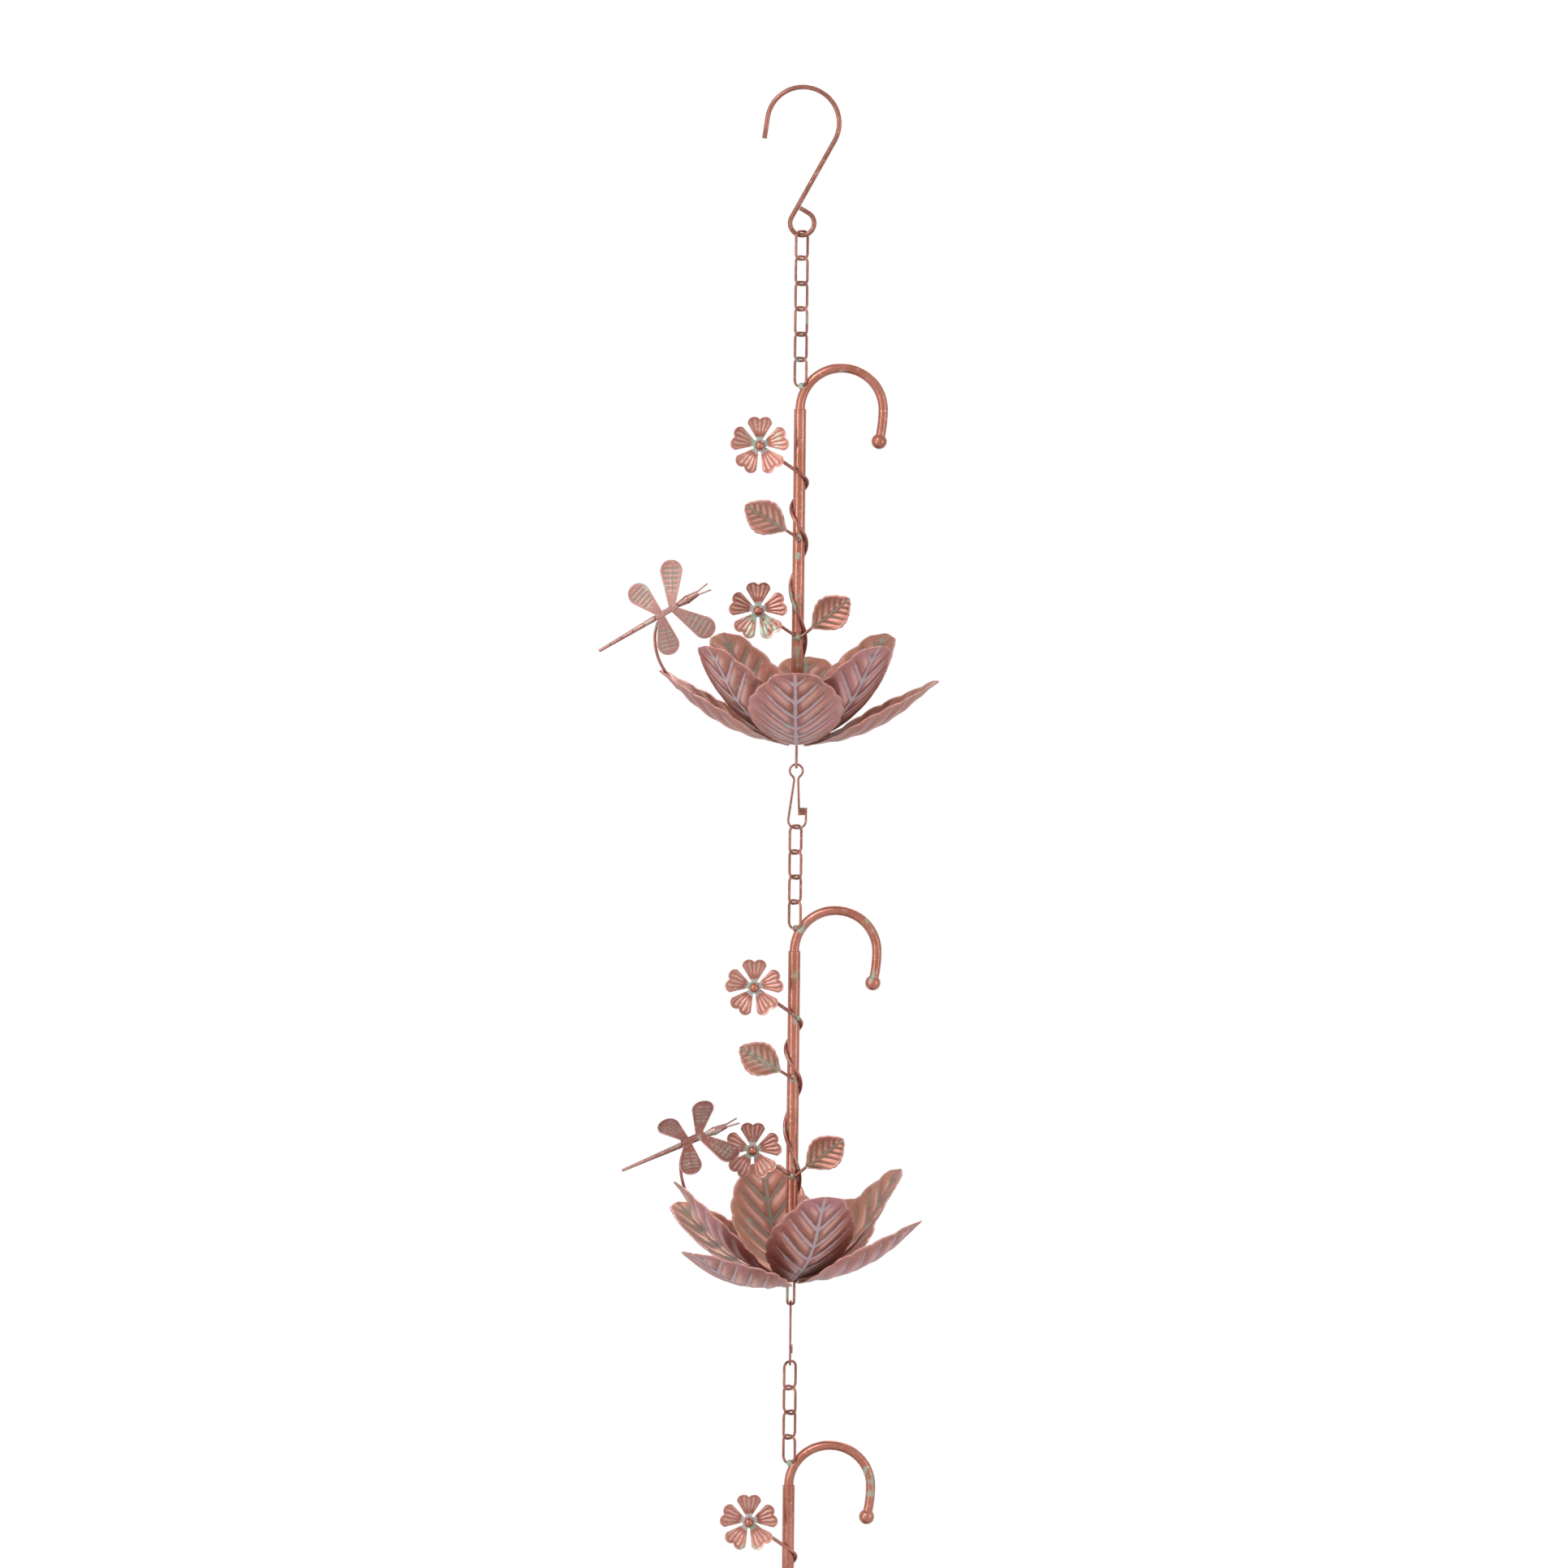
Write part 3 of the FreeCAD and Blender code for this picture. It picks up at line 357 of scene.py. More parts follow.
def leaf_paint(name, amount):
    """Stamped leaf: mauve copper and lavender veins outside, golden copper and green grooves inside, with
    painted shade and painted highlights on the pleats and painted shade towards the base.
    """
    finish = Finish(name)
    vein = finish.mark("vein")
    rim = finish.mark("rim")
    under = finish.mark("under")
    hollow = finish.mark("hollow")
    coat, grain = copper_coat(finish, COPPER, LEAF_DEEP)
    drift = finish.rise(finish.cloud(24.0, 3.0), 0.38, 0.66)
    outside = finish.blend(drift * 0.55 + 0.12, coat, MAUVE)
    inside = finish.blend(drift * 0.5 + 0.15, coat, COPPER_GOLD)
    sheet = finish.blend(under, inside, outside)
    crest = finish.mark("crest")
    # Painted shade in the valley of each pleat, and a painted highlight on its crest.
    sheet = finish.blend(finish.rise(crest, 0.45, 0.05) * 0.65, sheet, COPPER_DEEP)
    sheet = finish.blend(finish.rise(crest, 0.55, 1.0) * 0.6, sheet, COPPER_BRIGHT)
    # Painted shade: a patchy dark brown towards the leaf's base, deep inside the cup.
    shade_patches = finish.rise(finish.cloud(55.0, 4.0), 0.4, 0.72)
    sheet = finish.blend(hollow * (0.2 + 0.4 * shade_patches), sheet, PAINTED_SHADE_BROWN)
    rubbed = finish.rise(vein + finish.cloud(180.0, 3.0) * 0.8 - 0.4, 0.25, 0.75)
    vein_tone = finish.blend(under, GREY_GREEN, LAVENDER)
    sheet = finish.blend(rubbed * 0.72, sheet, vein_tone)
    spots = patina_spots(finish, amount) * (0.25 + 0.75 * vein)
    sheet = finish.blend(spots * 0.8, sheet, VERDIGRIS)
    dots = finish.rise(finish.cloud(300.0, 1.0), 0.35, 0.6)
    sheet = finish.blend(rim * (0.35 + 0.5 * dots), sheet, ROSE_EDGE)
    return finish.paint(
        Base_Color=sheet,
        Metallic=0.5 - 0.3 * rubbed,
        Roughness=0.34 + 0.14 * grain + 0.16 * rubbed,
        Normal=finish.bump(grain * 0.3 + finish.cloud(140.0, 4.0), 0.35, 0.0006),
    )


def petal_paint(name):
    """Stamped flower: bright copper petals with ribs, a green ring round the bead and pale edges."""
    finish = Finish(name)
    rib = finish.mark("vein")
    rim = finish.mark("rim")
    ring = finish.mark("hollow")
    coat, grain = copper_coat(finish, COPPER, COPPER_DEEP)
    colour = finish.blend(rib * 0.6, coat, COPPER_BRIGHT)
    ragged = finish.rise(ring + finish.cloud(300.0, 3.0) * 0.6 - 0.3, 0.35, 0.6)
    green = finish.blend(finish.rise(finish.cloud(90.0), 0.4, 0.6), LAVENDER, VERDIGRIS)
    colour = finish.blend(ragged * 0.85, colour, green)
    spots = patina_spots(finish, 0.4)
    colour = finish.blend(spots * 0.7, colour, VERDIGRIS)
    colour = finish.blend(rim * 0.45, colour, ROSE_EDGE)
    return finish.paint(
        Base_Color=colour,
        Metallic=0.7 - 0.55 * ragged,
        Roughness=0.32 + 0.14 * grain + 0.25 * ragged,
        Normal=finish.bump(grain * 0.4 + finish.cloud(240.0, 3.0), 0.3, 0.0004),
    )


def wing_paint(name, light, dark):
    """Dragonfly wing: pale pink copper bars and rim, with green in the pressed slots."""
    finish = Finish(name)
    bar = finish.mark("vein")
    rim = finish.mark("rim")
    slot = finish.mark("hollow")
    coat, grain = copper_coat(finish, light, dark)
    mossy = finish.rise(finish.cloud(210.0, 3.0), 0.35, 0.62)
    colour = finish.blend(slot * (0.35 + 0.5 * mossy), coat, GREY_GREEN)
    colour = finish.blend(bar * 0.45, colour, light)
    colour = finish.blend(rim * 0.5, colour, COPPER_BRIGHT)
    spots = patina_spots(finish, 0.2)
    colour = finish.blend(spots * 0.6, colour, VERDIGRIS)
    return finish.paint(
        Base_Color=colour,
        Metallic=0.55 - 0.3 * slot,
        Roughness=0.38 + 0.12 * grain + 0.2 * slot,
        Normal=finish.bump(grain * 0.4 + finish.cloud(300.0, 3.0), 0.3, 0.0004),
    )


def solder_paint(name):
    """Blobs of solder, half copper paint and half verdigris."""
    finish = Finish(name)
    coat, grain = copper_coat(finish, COPPER, COPPER_DEEP)
    green = finish.rise(finish.cloud(160.0, 4.0), 0.36, 0.56)
    return finish.paint(
        Base_Color=finish.blend(green * 0.9, coat, VERDIGRIS),
        Metallic=0.6 - 0.5 * green,
        Roughness=0.4 + 0.2 * grain,
        Normal=finish.bump(finish.cloud(700.0, 4.0), 0.5, 0.0005),
    )


def outward(mesh):
    """Turn every face of a mesh outwards."""
    work = bmesh.new()
    work.from_mesh(mesh)
    bmesh.ops.recalc_face_normals(work, faces=work.faces)
    work.to_mesh(mesh)
    work.free()


class Sheet:
    """A closed thin piece, gathered from surfaces that each have an outer and an inner face."""

    def __init__(self):
        self.points = []
        self.faces = []
        self.marks = {"vein": [], "rim": [], "hollow": [], "under": [], "crest": []}

    def add_point(self, point, **marks):
        self.points.append(point)
        for name, values in self.marks.items():
            values.append(marks.get(name, 0.0))

    def add(self, rows, columns, surface, place, ring=False):
        """Both faces of a surface over u and v, each from 0 to 1, joined round its border or borders."""
        start = len(self.points)
        width = columns if ring else columns + 1
        face_size = (rows + 1) * width
        for side in (1, -1):
            for row in range(rows + 1):
                for column in range(width):
                    point, marks = surface(row / rows, column / columns, side)
                    self.add_point(place @ (Vector(point) * MM), under=max(side, 0), **marks)
        for row in range(rows):
            for column in range(columns):
                here = start + row * width + column
                beside = start + row * width + (column + 1) % width
                outer = (here, beside, beside + width, here + width)
                self.faces.append(outer)
                self.faces.append(tuple(index + face_size for index in reversed(outer)))
        first = list(range(width))
        last = [rows * width + column for column in reversed(range(width))]
        if ring:
            borders = [first, last]
        else:
            right = [row * width + columns for row in range(1, rows)]
            left = [row * width for row in range(rows - 1, 0, -1)]
            borders = [first + right + last + left]
        for border in borders:
            for here, there in zip(border, border[1:] + border[:1]):
                wall = (there, here, here + face_size, there + face_size)
                self.faces.append(tuple(start + index for index in wall))

    def tube(self, begin, end, diameter, place, rings=12, steps=20):
        """A straight round wire with closed ends."""
        way = Vector(end) - Vector(begin)
        turn = way.to_track_quat("Z", "X")
        start = len(self.points)
        for ring in range(rings + 1):
            for step in range(steps):
                angle = 2 * math.pi * step / steps
                around = turn @ Vector((math.cos(angle), math.sin(angle), 0)) * (diameter / 2)
                self.add_point(place @ ((Vector(begin) + way * (ring / rings) + around) * MM))
        for ring in range(rings):
            for step in range(steps):
                here = start + ring * steps + step
                beside = start + ring * steps + (step + 1) % steps
                self.faces.append((here, beside, beside + steps, here + steps))
        self.faces.append(tuple(start + step for step in reversed(range(steps))))
        self.faces.append(tuple(start + rings * steps + step for step in range(steps)))

    def piece(self, name, material, body, slot, *replaced):
        """The gathered mesh as a piece that rides on a body."""
        mesh = bpy.data.meshes.new(name)
        mesh.from_pydata([tuple(point) for point in self.points], [], self.faces)
        outward(mesh)
        for mark, values in self.marks.items():
            mesh.attributes.new(mark, "FLOAT", "POINT").data.foreach_set("value", values)
        mesh.polygons.foreach_set("use_smooth", [True] * len(mesh.polygons))
        mesh.materials.append(material)
        made = bpy.data.objects.new(name, mesh)
        bpy.context.collection.objects.link(made)
        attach(made, body)
        if replaced:
            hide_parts(*replaced)


def smooth(value, low, high):
    """0 below one value, 1 above another, smooth between."""
    share = min(1.0, max(0.0, (value - low) / (high - low)))
    return share * share * (3 - 2 * share)


def through(share, first, middle, last):
    """A gentle curve through three values at shares 0, 1/2 and 1."""
    return (first * (1 - share) * (1 - 2 * share) + 4 * middle * share * (1 - share)
            + last * share * (2 * share - 1))


def turn_about(axis, angle):
    """A turn in degrees about an axis through the origin."""
    return Matrix.Rotation(math.radians(angle), 4, Vector(axis))


def shift(x, y, z):
    """A move in millimetres."""
    return Matrix.Translation(Vector((x, y, z)) * MM)


def leaf_margin(share, shape, depth):
    """Half width of a leaf with round scallops, after a plain wedge at its base."""
    power = math.log(0.5) / math.log(LEAF_WIDEST)

    def plain(at):
        swell = max(0.0, math.sin(math.pi * min(1.0, at) ** power))
        return shape["half_width"] * swell ** (shape["base"] if at < LEAF_WIDEST else shape["tip"])

    number = min(LEAF_SCALLOPS - 1, int(share * LEAF_SCALLOPS))
    first = plain(number / LEAF_SCALLOPS)
    last = plain((number + 1) / LEAF_SCALLOPS)
    part = share * LEAF_SCALLOPS - number
    if number == 0:
        return first + (last - first) * part
    middle = plain((number + 0.5) / LEAF_SCALLOPS) + depth
    return max(0.02, through(part, first, middle, last))


def leaf_surface(chord, shape, sheet, ridge, ridge_half_width, depth, base, relief, flare):
    """The stamped leaf: a trough swept up along a round midrib, with raised veins and a flared tip."""
    sweep = shape["sweep"]
    cup = shape["cup"]
    lean = math.asin(chord / (2 * sweep))

    def surface(u, v, side):
        across = 2 * v - 1
        edge = abs(across)
        share = base + (LEAF_END - LEAF_END_ROUND * edge ** 2 - base) * u
        width = leaf_margin(share, shape, depth)
        y = across * width
        roll = math.asin(y / cup)
        reach = sweep - cup * (1 - math.cos(roll))
        turn = lean + math.asin((share * chord - sweep * math.sin(lean)) / reach)
        path = share * SIDE_VEINS - VEIN_LEAN * abs(y) / shape["half_width"] + VEIN_START
        stray = abs(path - round(path))
        ends = smooth(share, base, base + 0.1) * (1 - smooth(share, 0.86, 0.98))
        fade = ends * (1 - edge ** 4)
        side_vein = math.exp(-(stray / (0.12 - 0.04 * edge)) ** 2) * fade * smooth(edge, 0.0, 0.05)
        midrib = math.exp(-(y / (0.7 * ridge_half_width)) ** 2) * (1 - smooth(share, 0.92, 1.0))
        ridge_rise = ridge * max(0.0, 1 - abs(y) / ridge_half_width)
        part = path - math.floor(path)
        climb = part / PLEAT_CREST if part < PLEAT_CREST else (1 - part) / (1 - PLEAT_CREST)
        pleat = smooth(climb, 0.0, 1.0) * fade * smooth(edge, 0.02, 0.2)
        tip = max(0.0, share - FLARE_START) / (1 - FLARE_START)
        stamped = relief * (VEIN_HEIGHT * (side_vein - fade) + PLEAT_HEIGHT * (pleat - fade))
        out = side * sheet / 2 + ridge_rise + stamped + flare * tip ** 2
        normal = Vector((math.cos(roll) * math.sin(turn), math.sin(roll), -math.cos(roll) * math.cos(turn)))
        point = Vector((reach * math.sin(turn), y, sweep - reach * math.cos(turn))) + normal * out
        marks = {
            "vein": max(side_vein, midrib),
            "rim": 1 - smooth((1 - edge) * width, 0.4, 1.6),
            # hollow rises towards the leaf's base, where leaf_paint lays painted shade.
            "hollow": 1 - smooth(share, 0.1, 0.42),
            # crest runs from 0 in a pleat's valley to 1 on its crest; leaf_paint paints shade and highlight
            # from it.
            "crest": 0.5 + 0.5 * fade * (2 * pleat - 1),
        }
        return point, marks

    return surface


def cup_row(mark, name, shape, places, lift, flare, material):
    """One row of the cup's four leaves."""
    sheet = Sheet()
    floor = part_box(f"shaft_{mark}")[0].z / MM
    base = (SHAFT_RADIUS + FIT_GAP + LEAF_BASE_GAP) / LEAF_CHORD
    surface = leaf_surface(LEAF_CHORD, shape, LEAF_SHEET, LEAF_RIDGE, LEAF_RIDGE_HALF_WIDTH,
                           LEAF_SCALLOP_DEPTH, base, 1.0, flare)
    for azimuth, tilt in places:
        place = shift(0, 0, floor) @ turn_about((0, 0, 1), azimuth) @ shift(0, 0, lift)
        sheet.add(*LEAF_GRID, surface, place @ turn_about((0, -1, 0), tilt))
    sheet.piece(f"veined_{name}_{mark}", material, f"umbrella_{mark}", "leaf", f"{name}_{mark}")


def stem_depth():
    """How far in front of the shaft's axis a stem's wire lies."""
    return SHAFT_RADIUS + STEM_WIRE / 2 + FIT_GAP


def stem_node(side_step, height):
    """Where a stem starts on the shaft."""
    return Vector((side_step, -math.sqrt(stem_depth() ** 2 - side_step ** 2), height))


def small_leaf(mark, name, material):
    """A small veined leaf with its stem, on the front of the shaft."""
    height, heading, side_step = SMALL_LEAVES[name]
    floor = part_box(f"shaft_{mark}")[0].z / MM
    below = -(TRIM_SHEET + STEM_WIRE) / 2 + WELD_SINK
    node = stem_node(side_step, height)
    place = shift(node.x, node.y, node.z + floor) @ turn_about((0, -1, 0), heading)
    place = place @ turn_about((1, 0, 0), 90) @ shift(SMALL_STEM, 0, -below)
    sheet = Sheet()
    surface = leaf_surface(SMALL_CHORD, SMALL_SHAPE, TRIM_SHEET, SMALL_RIDGE, SMALL_RIDGE_HALF_WIDTH,
                           SMALL_SCALLOP_DEPTH, SMALL_BASE, SMALL_RELIEF, 0.0)
    sheet.add(*SMALL_GRID, surface, place)
    sheet.tube((-SMALL_STEM, 0, below), (SMALL_STEM_LAP, 0, below), STEM_WIRE, place)
    sheet.piece(f"veined_{name}_{mark}", material, f"umbrella_{mark}", "leaf", f"{name}_{mark}")


def circle_through(first, second, third):
    """Centre and radius of the circle through three points."""
    ax, ay = first
    bx, by = second
    cx, cy = third
    twice = 2 * (ax * (by - cy) + bx * (cy - ay) + cx * (ay - by))
    squares = (ax * ax + ay * ay, bx * bx + by * by, cx * cx + cy * cy)
    x = (squares[0] * (by - cy) + squares[1] * (cy - ay) + squares[2] * (ay - by)) / twice
    y = (squares[0] * (cx - bx) + squares[1] * (ax - cx) + squares[2] * (bx - ax)) / twice
    return x, y, math.hypot(ax - x, ay - y)


def dished(x, y, out):
    """A point of the flower's round dish, lifted off its back by a height."""
    radius = FLOWER_DISH - out
    return Vector((x, y, FLOWER_DISH - math.sqrt(radius ** 2 - x * x - y * y)))


def petal_surface():
    """One notched petal along +X with pressed ribs."""
    lobe_x, lobe_y, lobe_radius = circle_through(PETAL_SHOULDER, PETAL_LOBE, PETAL_NOTCH)

    def surface(u, v, side):
        across = 2 * v - 1
        edge = abs(across)
        tip_y = edge * PETAL_SHOULDER[1]
        tip = lobe_x + math.sqrt(max(0.0, lobe_radius ** 2 - (tip_y - lobe_y) ** 2))
        x = PETAL_ROOT[0] - PETAL_LAP + (tip - PETAL_ROOT[0] + PETAL_LAP) * u
        share = min(1.0, max(0.0, (x - PETAL_ROOT[0]) / (PETAL_SHOULDER[0] - PETAL_ROOT[0])))
        half = through(share, PETAL_ROOT[1], PETAL_WAIST[1], PETAL_SHOULDER[1])
        y = across * half
        rib = 0.5 + 0.5 * math.cos(math.pi * PETAL_RIBS * across)
        fade = smooth(u, 0.25, 0.5) * (1 - smooth(u, 0.82, 0.97)) * (1 - edge ** 4)
        lip = smooth(u, 0.9, 1.0) * PETAL_LIP
        back = 0.0 if side > 0 else TRIM_SHEET
        point = dished(x, y, back + PETAL_RIB_HEIGHT * rib * fade + lip)
        marks = {
            "vein": rib * fade,
            "rim": max(smooth(u, 0.93, 1.0), smooth(edge, 0.9, 1.0)),
            "hollow": 1 - smooth(u, 0.06, 0.3),
        }
        return point, marks

    return surface


def hub_surface(u, v, side):
    """The flower's middle, a shallow collar round the bead."""
    angle = 2 * math.pi * v
    radius = HUB_HOLE + (FLOWER_HUB - HUB_HOLE) * u
    back = 0.0 if side > 0 else TRIM_SHEET + HUB_CROWN * math.sin(math.pi * u)
    return dished(radius * math.cos(angle), radius * math.sin(angle), back), {"hollow": 1.0}


def flower_mesh(sheet, place):
    """A flower that faces the front, one petal upright."""
    front = place @ turn_about((1, 0, 0), 90)
    petal = petal_surface()
    for number in range(PETALS):
        sheet.add(*PETAL_GRID, petal, front @ turn_about((0, 0, 1), 90 + 360 * number / PETALS))
    sheet.add(*HUB_GRID, hub_surface, front, ring=True)


def flowers(mark, material):
    """The upper flower on the vine's stalk, and the lower one with its own stem."""
    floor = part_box(f"shaft_{mark}")[0].z / MM
    vine_radius = SHAFT_RADIUS + VINE_WIRE / 2 + FIT_GAP
    rise = FLOWER_REACH * VINE_FIRST_DROP / (2 * math.pi * vine_radius)
    upper = Sheet()
    back = vine_radius + VINE_WIRE / 2 + FIT_GAP
    flower_mesh(upper, shift(-FLOWER_REACH, -back, floor + VINE_TOP + rise))
    upper.piece(f"ribbed_upper_flower_{mark}", material, f"umbrella_{mark}", "flower", f"upper_flower_{mark}")
    lower = Sheet()
    top = LOWER_FLOWER_NODE + LOWER_FLOWER_RISE
    back = stem_depth() + STEM_WIRE / 2 - WELD_SINK
    flower_mesh(lower, shift(-FLOWER_REACH, -back, floor + top))
    stem_end = (-FLOWER_REACH, -stem_depth(), top)
    lower.tube(stem_node(-STEM_SIDE_STEP, LOWER_FLOWER_NODE), stem_end, STEM_WIRE, shift(0, 0, floor))
    lower.piece(f"ribbed_lower_flower_{mark}", material, f"umbrella_{mark}", "flower", f"lower_flower_{mark}")


def wing_surface(length):
    """One teardrop wing towards +Y: a raised rim and cross bars with sunk slots between."""
    far = length - WING_TIP_RADIUS
    slope = (WING_TIP_RADIUS - WING_ROOT_RADIUS) / far
    lean = math.asin(slope)
    low = -WING_ROOT_RADIUS * slope
    high = far - WING_TIP_RADIUS * slope

    def half_width(y):
        if y < low:
            return math.sqrt(max(0.0, WING_ROOT_RADIUS ** 2 - y * y))
        if y > high:
            return math.sqrt(max(0.0, WING_TIP_RADIUS ** 2 - (y - far) ** 2))
        part = (y - low) / (high - low)
        return math.cos(lean) * (WING_ROOT_RADIUS + (WING_TIP_RADIUS - WING_ROOT_RADIUS) * part)

    def surface(u, v, side):
        y = -WING_ROOT_RADIUS + (length + WING_ROOT_RADIUS) * 0.5 * (1 - math.cos(math.pi * u))
        across = 2 * v - 1
        edge = abs(across)
        half = max(0.02, half_width(y))
        span = (y - 0.3 * length) / (0.62 * length)
        field = smooth(span, 0.0, 0.06) * (1 - smooth(span, 0.9, 1.0)) * (1 - smooth(edge, 0.62, 0.78))
        wave = 0.5 + 0.5 * math.cos(2 * math.pi * WING_BARS * span)
        slot = field * smooth(wave, 0.35, 0.75)
        rib = math.exp(-(across * half / 0.45) ** 2) * smooth(y, 0.0, 0.2 * length)
        relief = WING_RELIEF * (0.8 * rib * field - slot)
        z = (TRIM_SHEET if side > 0 else 0.0) + relief
        marks = {
            "vein": field * (1 - slot),
            "rim": max(smooth(edge, 0.86, 0.98), smooth(y, length - 1.2, length)),
            "hollow": slot * (1 - 0.8 * rib),
        }
        return Vector((across * half, y, z)), marks

    return surface


def saddle_surface(u, v, side):
    """The strip that carries the wings along the dragonfly's back."""
    across = (2 * v - 1) * WING_ROOT_RADIUS
    crown = SADDLE_CROWN * math.cos(math.pi * (v - 0.5))
    top = TRIM_SHEET + crown if side > 0 else 0.0
    return Vector((WING_SADDLE * (u - 0.5), across, top)), {"vein": 1.0}


def bent(here, heading, radius, angle):
    """Where a round bend to the left ends, and its heading there, in degrees."""
    first = math.radians(heading)
    last = math.radians(heading + angle)
    x = here[0] + radius * (math.sin(last) - math.sin(first))
    z = here[1] + radius * (math.cos(first) - math.cos(last))
    return (x, z), heading + angle


def perch_end(sweep, tilt):
    """The end of the dragonfly's stem, in the plane of the leaf that carries it."""
    groove = math.atan(LEAF_RIDGE / LEAF_RIDGE_HALF_WIDTH)
    radius = sweep - LEAF_SHEET / 2 + LEAF_RIDGE - STEM_WIRE / 2 / math.cos(groove) - FIT_GAP
    leaf_end = 2 * math.degrees(math.asin(LEAF_CHORD / (2 * sweep)))
    lap_end = leaf_end - math.degrees(PERCH_TIP_MARGIN / sweep)
    lap = math.degrees(PERCH_LAP / sweep)
    begin = math.radians(lap_end - lap)
    here = (radius * math.sin(begin), sweep - radius * math.cos(begin))
    here, heading = bent(here, lap_end - lap, radius, lap)
    here, heading = bent(here, heading, PERCH_RISE_RADIUS, 90 - lap_end - tilt)
    here, heading = bent(here, heading, PERCH_CURL_RADIUS, PERCH_CURL_TURN)
    return here


def wings(mark, material):
    """The dragonfly's four wings and the strip that joins them."""
    sweep, azimuth, tilt, lift = PERCHES[mark]
    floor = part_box(f"shaft_{mark}")[0].z / MM
    end = perch_end(sweep, tilt)
    side = STEM_WIRE / 2 + FIT_GAP + DRAGONFLY_BODY_RADIUS
    place = shift(0, 0, floor) @ turn_about((0, 0, 1), azimuth) @ shift(0, 0, lift)
    place = place @ turn_about((0, -1, 0), tilt) @ shift(end[0], side, end[1]) @ turn_about((0, 0, 1), 180)
    place = place @ turn_about((0, -1, 0), DRAGONFLY_HEADING)
    place = place @ turn_about((1, 0, 0), 90 - DRAGONFLY_ROLLS[mark])
    place = place @ shift(0, 0, DRAGONFLY_BODY_RADIUS + FIT_GAP)
    sheet = Sheet()
    mirror = Matrix.Scale(-1, 4, Vector((0, 1, 0)))
    for length, lead in WINGS:
        root = shift(math.copysign(WING_PITCH / 2, lead), 0, 0)
        wing = turn_about((1, 0, 0), -WING_DROOP) @ root @ turn_about((0, 0, 1), -lead)
        surface = wing_surface(length)
        sheet.add(*WING_GRID, surface, place @ wing)
        sheet.add(*WING_GRID, surface, place @ mirror @ wing)
    sheet.add(*SADDLE_GRID, saddle_surface, place)
    sheet.piece(f"barred_wings_{mark}", material, f"umbrella_{mark}", "dragonfly", f"dragonfly_wings_{mark}")


def solder_blob(sheet, centre, size, place):
    """A lumpy blob of solder."""
    rings, steps = BLOB_GRID

    def lump(u, v):
        polar = math.pi * u
        angle = 2 * math.pi * v
        way = Vector((math.sin(polar) * math.cos(angle), math.sin(polar) * math.sin(angle), math.cos(polar)))
        swell = 1 + BLOB_LUMPS * noise.noise(way * 1.7 + Vector(centre) * 0.37)
        stretched = Vector((way.x * size[0], way.y * size[1], way.z * size[2]))
        return Vector(centre) + stretched * swell

    start = len(sheet.points)
    sheet.add_point(place @ (lump(0, 0) * MM))
    for ring in range(1, rings):
        for step in range(steps):
            sheet.add_point(place @ (lump(ring / rings, step / steps) * MM))
    sheet.add_point(place @ (lump(1, 0) * MM))
    last = len(sheet.points) - 1
    for step in range(steps):
        beside = (step + 1) % steps
        sheet.faces.append((start, start + 1 + step, start + 1 + beside))
        for ring in range(rings - 2):
            here = start + 1 + ring * steps
            sheet.faces.append((here + step, here + steps + step, here + steps + beside, here + beside))
        here = start + 1 + (rings - 2) * steps
        sheet.faces.append((here + step, last, here + beside))


def solder(mark, material):
    """Solder where the hanger link and the small leaves' stems are fixed."""
    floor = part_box(f"shaft_{mark}")[0].z / MM
    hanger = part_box(f"hanger_link_{mark}")[0]
    place = shift(0, 0, floor)
    weld_height = hanger.z / MM - floor
    sheet = Sheet()
    solder_blob(sheet, (1.2, -0.4, weld_height + 1.0), HANGER_BLOB, place)
    for name, size in LEAF_BLOBS.items():
        solder_blob(sheet, (0.0, -SHAFT_RADIUS, SMALL_LEAVES[name][0]), size, place)
    sheet.piece(f"solder_{mark}", material, f"umbrella_{mark}", "rod")


def coat_node(name, material):
    """Give a solid that stays its finish."""
    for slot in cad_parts[name].material_slots:
        slot.material = material


def aim(made, target):
    """Point a light at a place."""
    made.rotation_euler = (Vector(target) - made.location).to_track_quat("-Z", "Y").to_euler()


def soft_light(name, location, target, size, power):
    """A large studio light panel."""
    data = bpy.data.lights.new(name, "AREA")
    data.shape = "RECTANGLE"
    data.size, data.size_y = size
    data.energy = power
    made = bpy.data.objects.new(name, data)
    made.location = location
    bpy.context.collection.objects.link(made)
    aim(made, target)


def studio_world(level):
    """White to look at, and an even soft light at a lower level."""
    world = bpy.data.worlds.new("studio")
    bpy.context.scene.world = world
    nodes = Nodes(world)
    background = nodes.tree.nodes["Background"]
    nodes.join(background.inputs["Color"], (1, 1, 1, 1))
    nodes.join(background.inputs["Strength"], level + nodes.studio_white(1 - level))


def studio_floor(height):
    """A pale floor that keeps a faint shadow, fades to white and ends below the photo's view."""
    mesh = bpy.data.meshes.new("floor")
    left, right, near, far = FLOOR_SIDES
    corners = [(left, near, height), (right, near, height), (right, far, height), (left, far, height)]
    mesh.from_pydata(corners, [], [(0, 1, 2, 3)])
    made = bpy.data.objects.new("floor", mesh)
    bpy.context.collection.objects.link(made)
    finish = Finish("pale_floor")
    mesh.materials.append(finish.paint(Base_Color=(0.9, 0.9, 0.9, 1), Roughness=0.9))
    glow = finish.node("ShaderNodeEmission", {}, {})
    plain = Value(finish, finish.shader.outputs[0])
    reach = finish.node("ShaderNodeVectorMath", {"operation": "LENGTH"}, {0: finish.place(0.0)}, "Value")
    white = finish.studio_white(FLOOR_WHITE + (1 - FLOOR_WHITE) * finish.rise(reach, *FLOOR_FADE))
    mixed = finish.node("ShaderNodeMixShader", {}, {0: white, 1: plain, 2: glow})
    finish.join(finish.tree.nodes["Material Output"].inputs["Surface"], mixed)


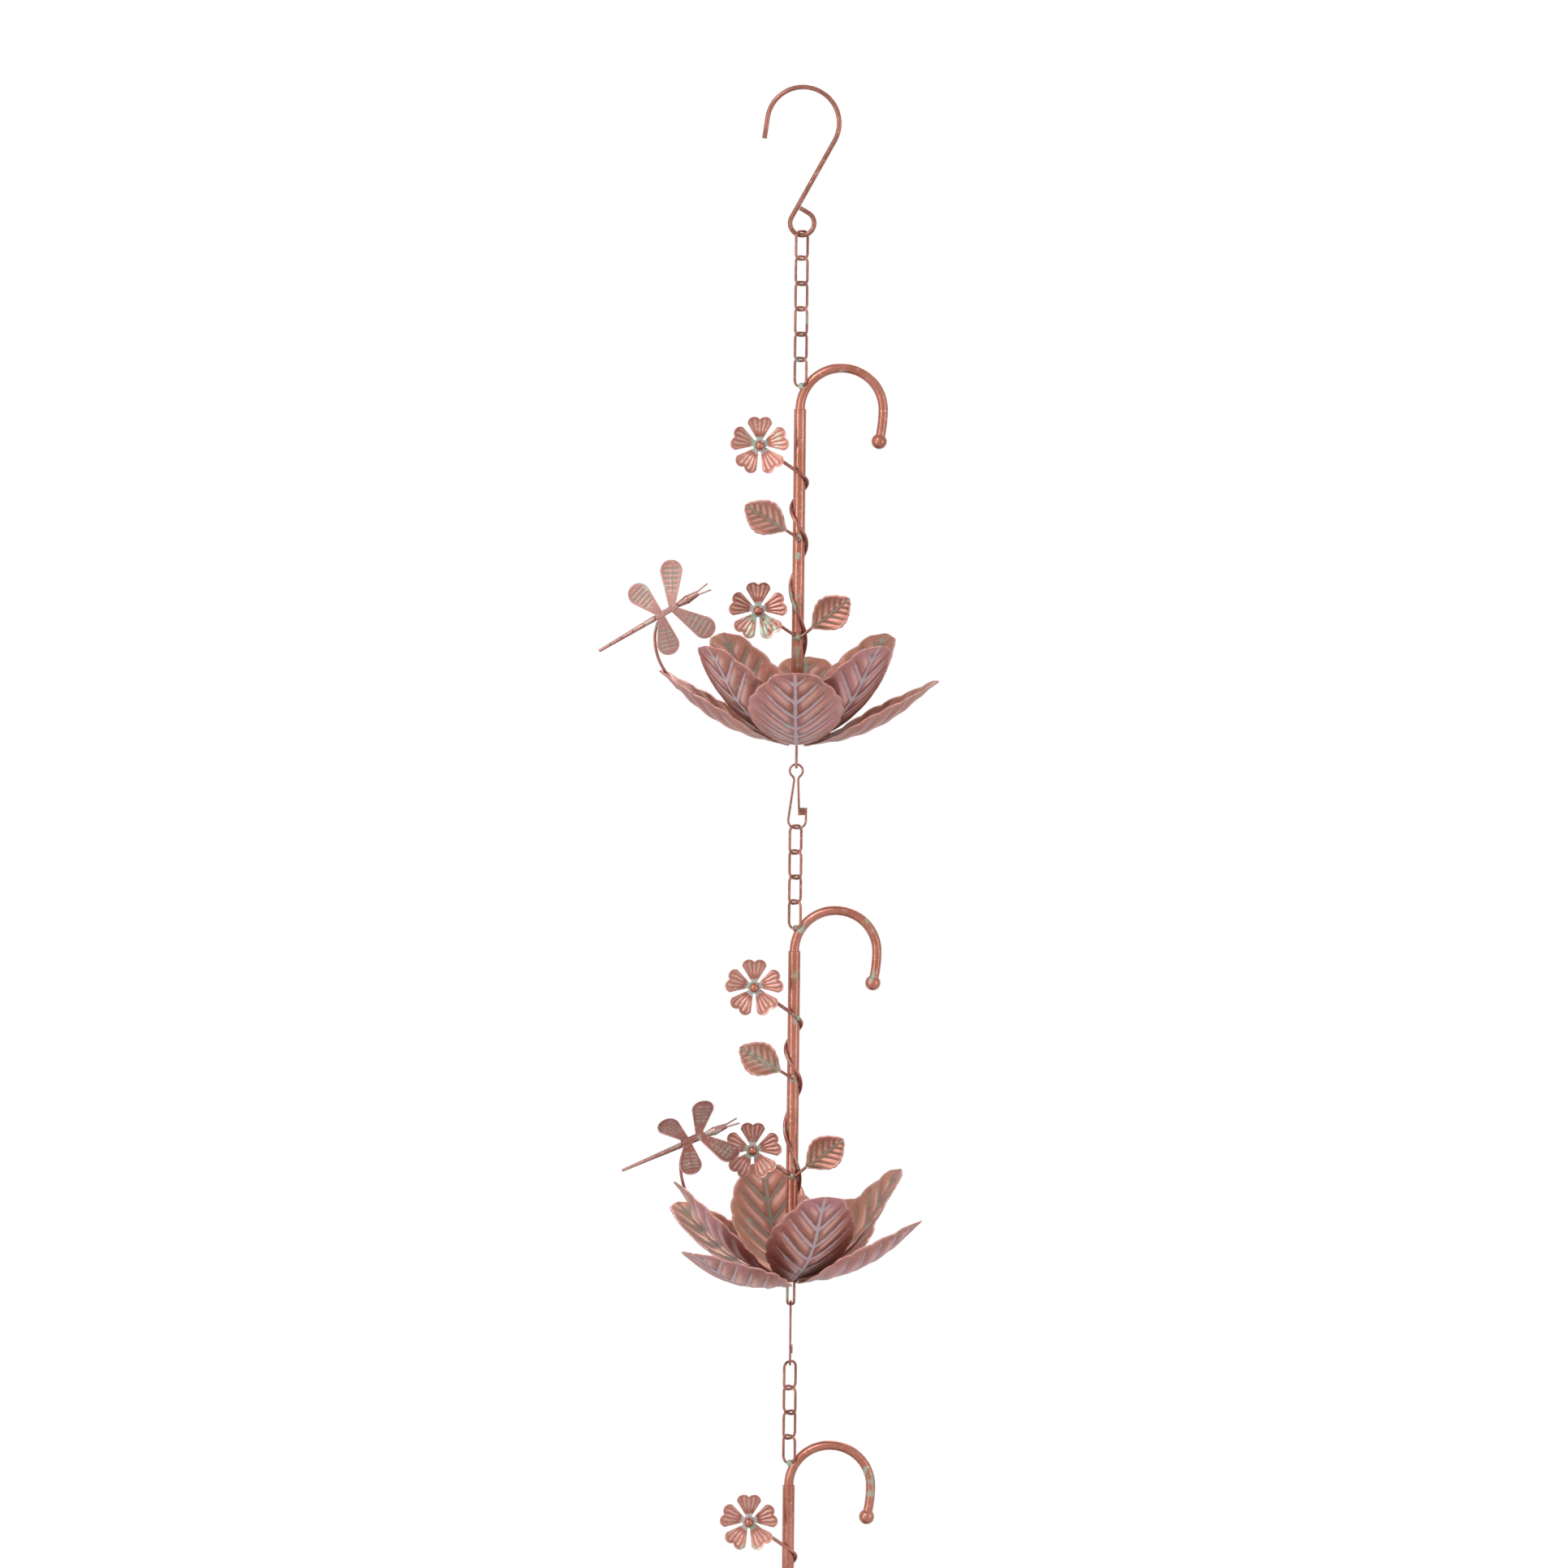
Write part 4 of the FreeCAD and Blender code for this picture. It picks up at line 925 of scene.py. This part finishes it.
def photo_camera():
    """The photo's view: a long lens a little above the middle of the chain."""
    data = bpy.data.cameras.new("photo_camera")
    data.sensor_width = SENSOR
    middle_x = (PHOTO_SIZE / 2 - SHAFT_COLUMN) * PHOTO_PITCH
    middle_z = (HOOK_TOP_ROW - PHOTO_SIZE / 2) * PHOTO_PITCH
    elevation = math.radians(CAMERA_ELEVATION)
    data.lens = SENSOR * CAMERA_DISTANCE / (PHOTO_SIZE * PHOTO_PITCH)
    made = bpy.data.objects.new("photo_camera", data)
    back = Vector((0, -math.cos(elevation), math.sin(elevation)))
    made.location = Vector((middle_x, 0, middle_z)) + back * CAMERA_DISTANCE
    look = (-back).to_track_quat("-Z", "Y").to_matrix().to_4x4()
    made.rotation_euler = (look @ turn_about((0, 0, 1), CAMERA_ROLL)).to_euler()
    bpy.context.collection.objects.link(made)
    bpy.context.scene.camera = made


def dress():
    """Finishes of all pieces, and the finer leaves, flowers, wings and solder."""
    wire = wire_paint("copper_wire", WIRE_COPPER, WIRE_DEEP, 0.1)
    rod = wire_paint("copper_rod", COPPER, ROD_DEEP, 0.25)
    vine = wire_paint("copper_vine", COPPER, COPPER_DEEP, 0.55)
    pink = wire_paint("dragonfly_pink", DRAGONFLY_PINK, DRAGONFLY_DEEP, 0.3)
    leaf = leaf_paint("leaf_copper", 0.3)
    small = leaf_paint("small_leaf_copper", 0.8)
    petal = petal_paint("petal_copper")
    pale_wing = wing_paint("pale_wing", PALE_WING, PALE_WING_DEEP)
    red_wing = wing_paint("red_wing", RED_WING, RED_WING_DEEP)
    blob = solder_paint("solder_copper")
    finishes = {
        ("hook", "chain", "snap_clip", "hanger_link", "lower_eye"): wire,
        ("shaft", "crook", "flower_beads"): rod,
        ("vine", "dragonfly_stem"): vine,
        ("dragonfly_body",): pink,
    }
    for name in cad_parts:
        for starts, material in finishes.items():
            if name.startswith(starts):
                coat_node(name, material)
    for mark in OUTER_ROWS:
        cup_row(mark, "outer_leaves", OUTER_SHAPE, OUTER_ROWS[mark], 0.0, OUTER_FLARE, leaf)
        cup_row(mark, "inner_leaves", INNER_SHAPE, INNER_ROWS[mark], INNER_LIFT, INNER_FLARE, leaf)
        for name in SMALL_LEAVES:
            small_leaf(mark, name, small)
        flowers(mark, petal)
        wings(mark, red_wing if mark == 2 else pale_wing)
        solder(mark, blob)


def studio():
    """The lights, the floor and the camera."""
    studio_world(ROOM_LIGHT)
    for name, light in LIGHTS.items():
        soft_light(name, *light)
    studio_floor(CAD_BOX[0].z - FLOOR_DROP)
    photo_camera()


bpy.context.scene.view_settings.view_transform = "Standard"
dress()
studio()
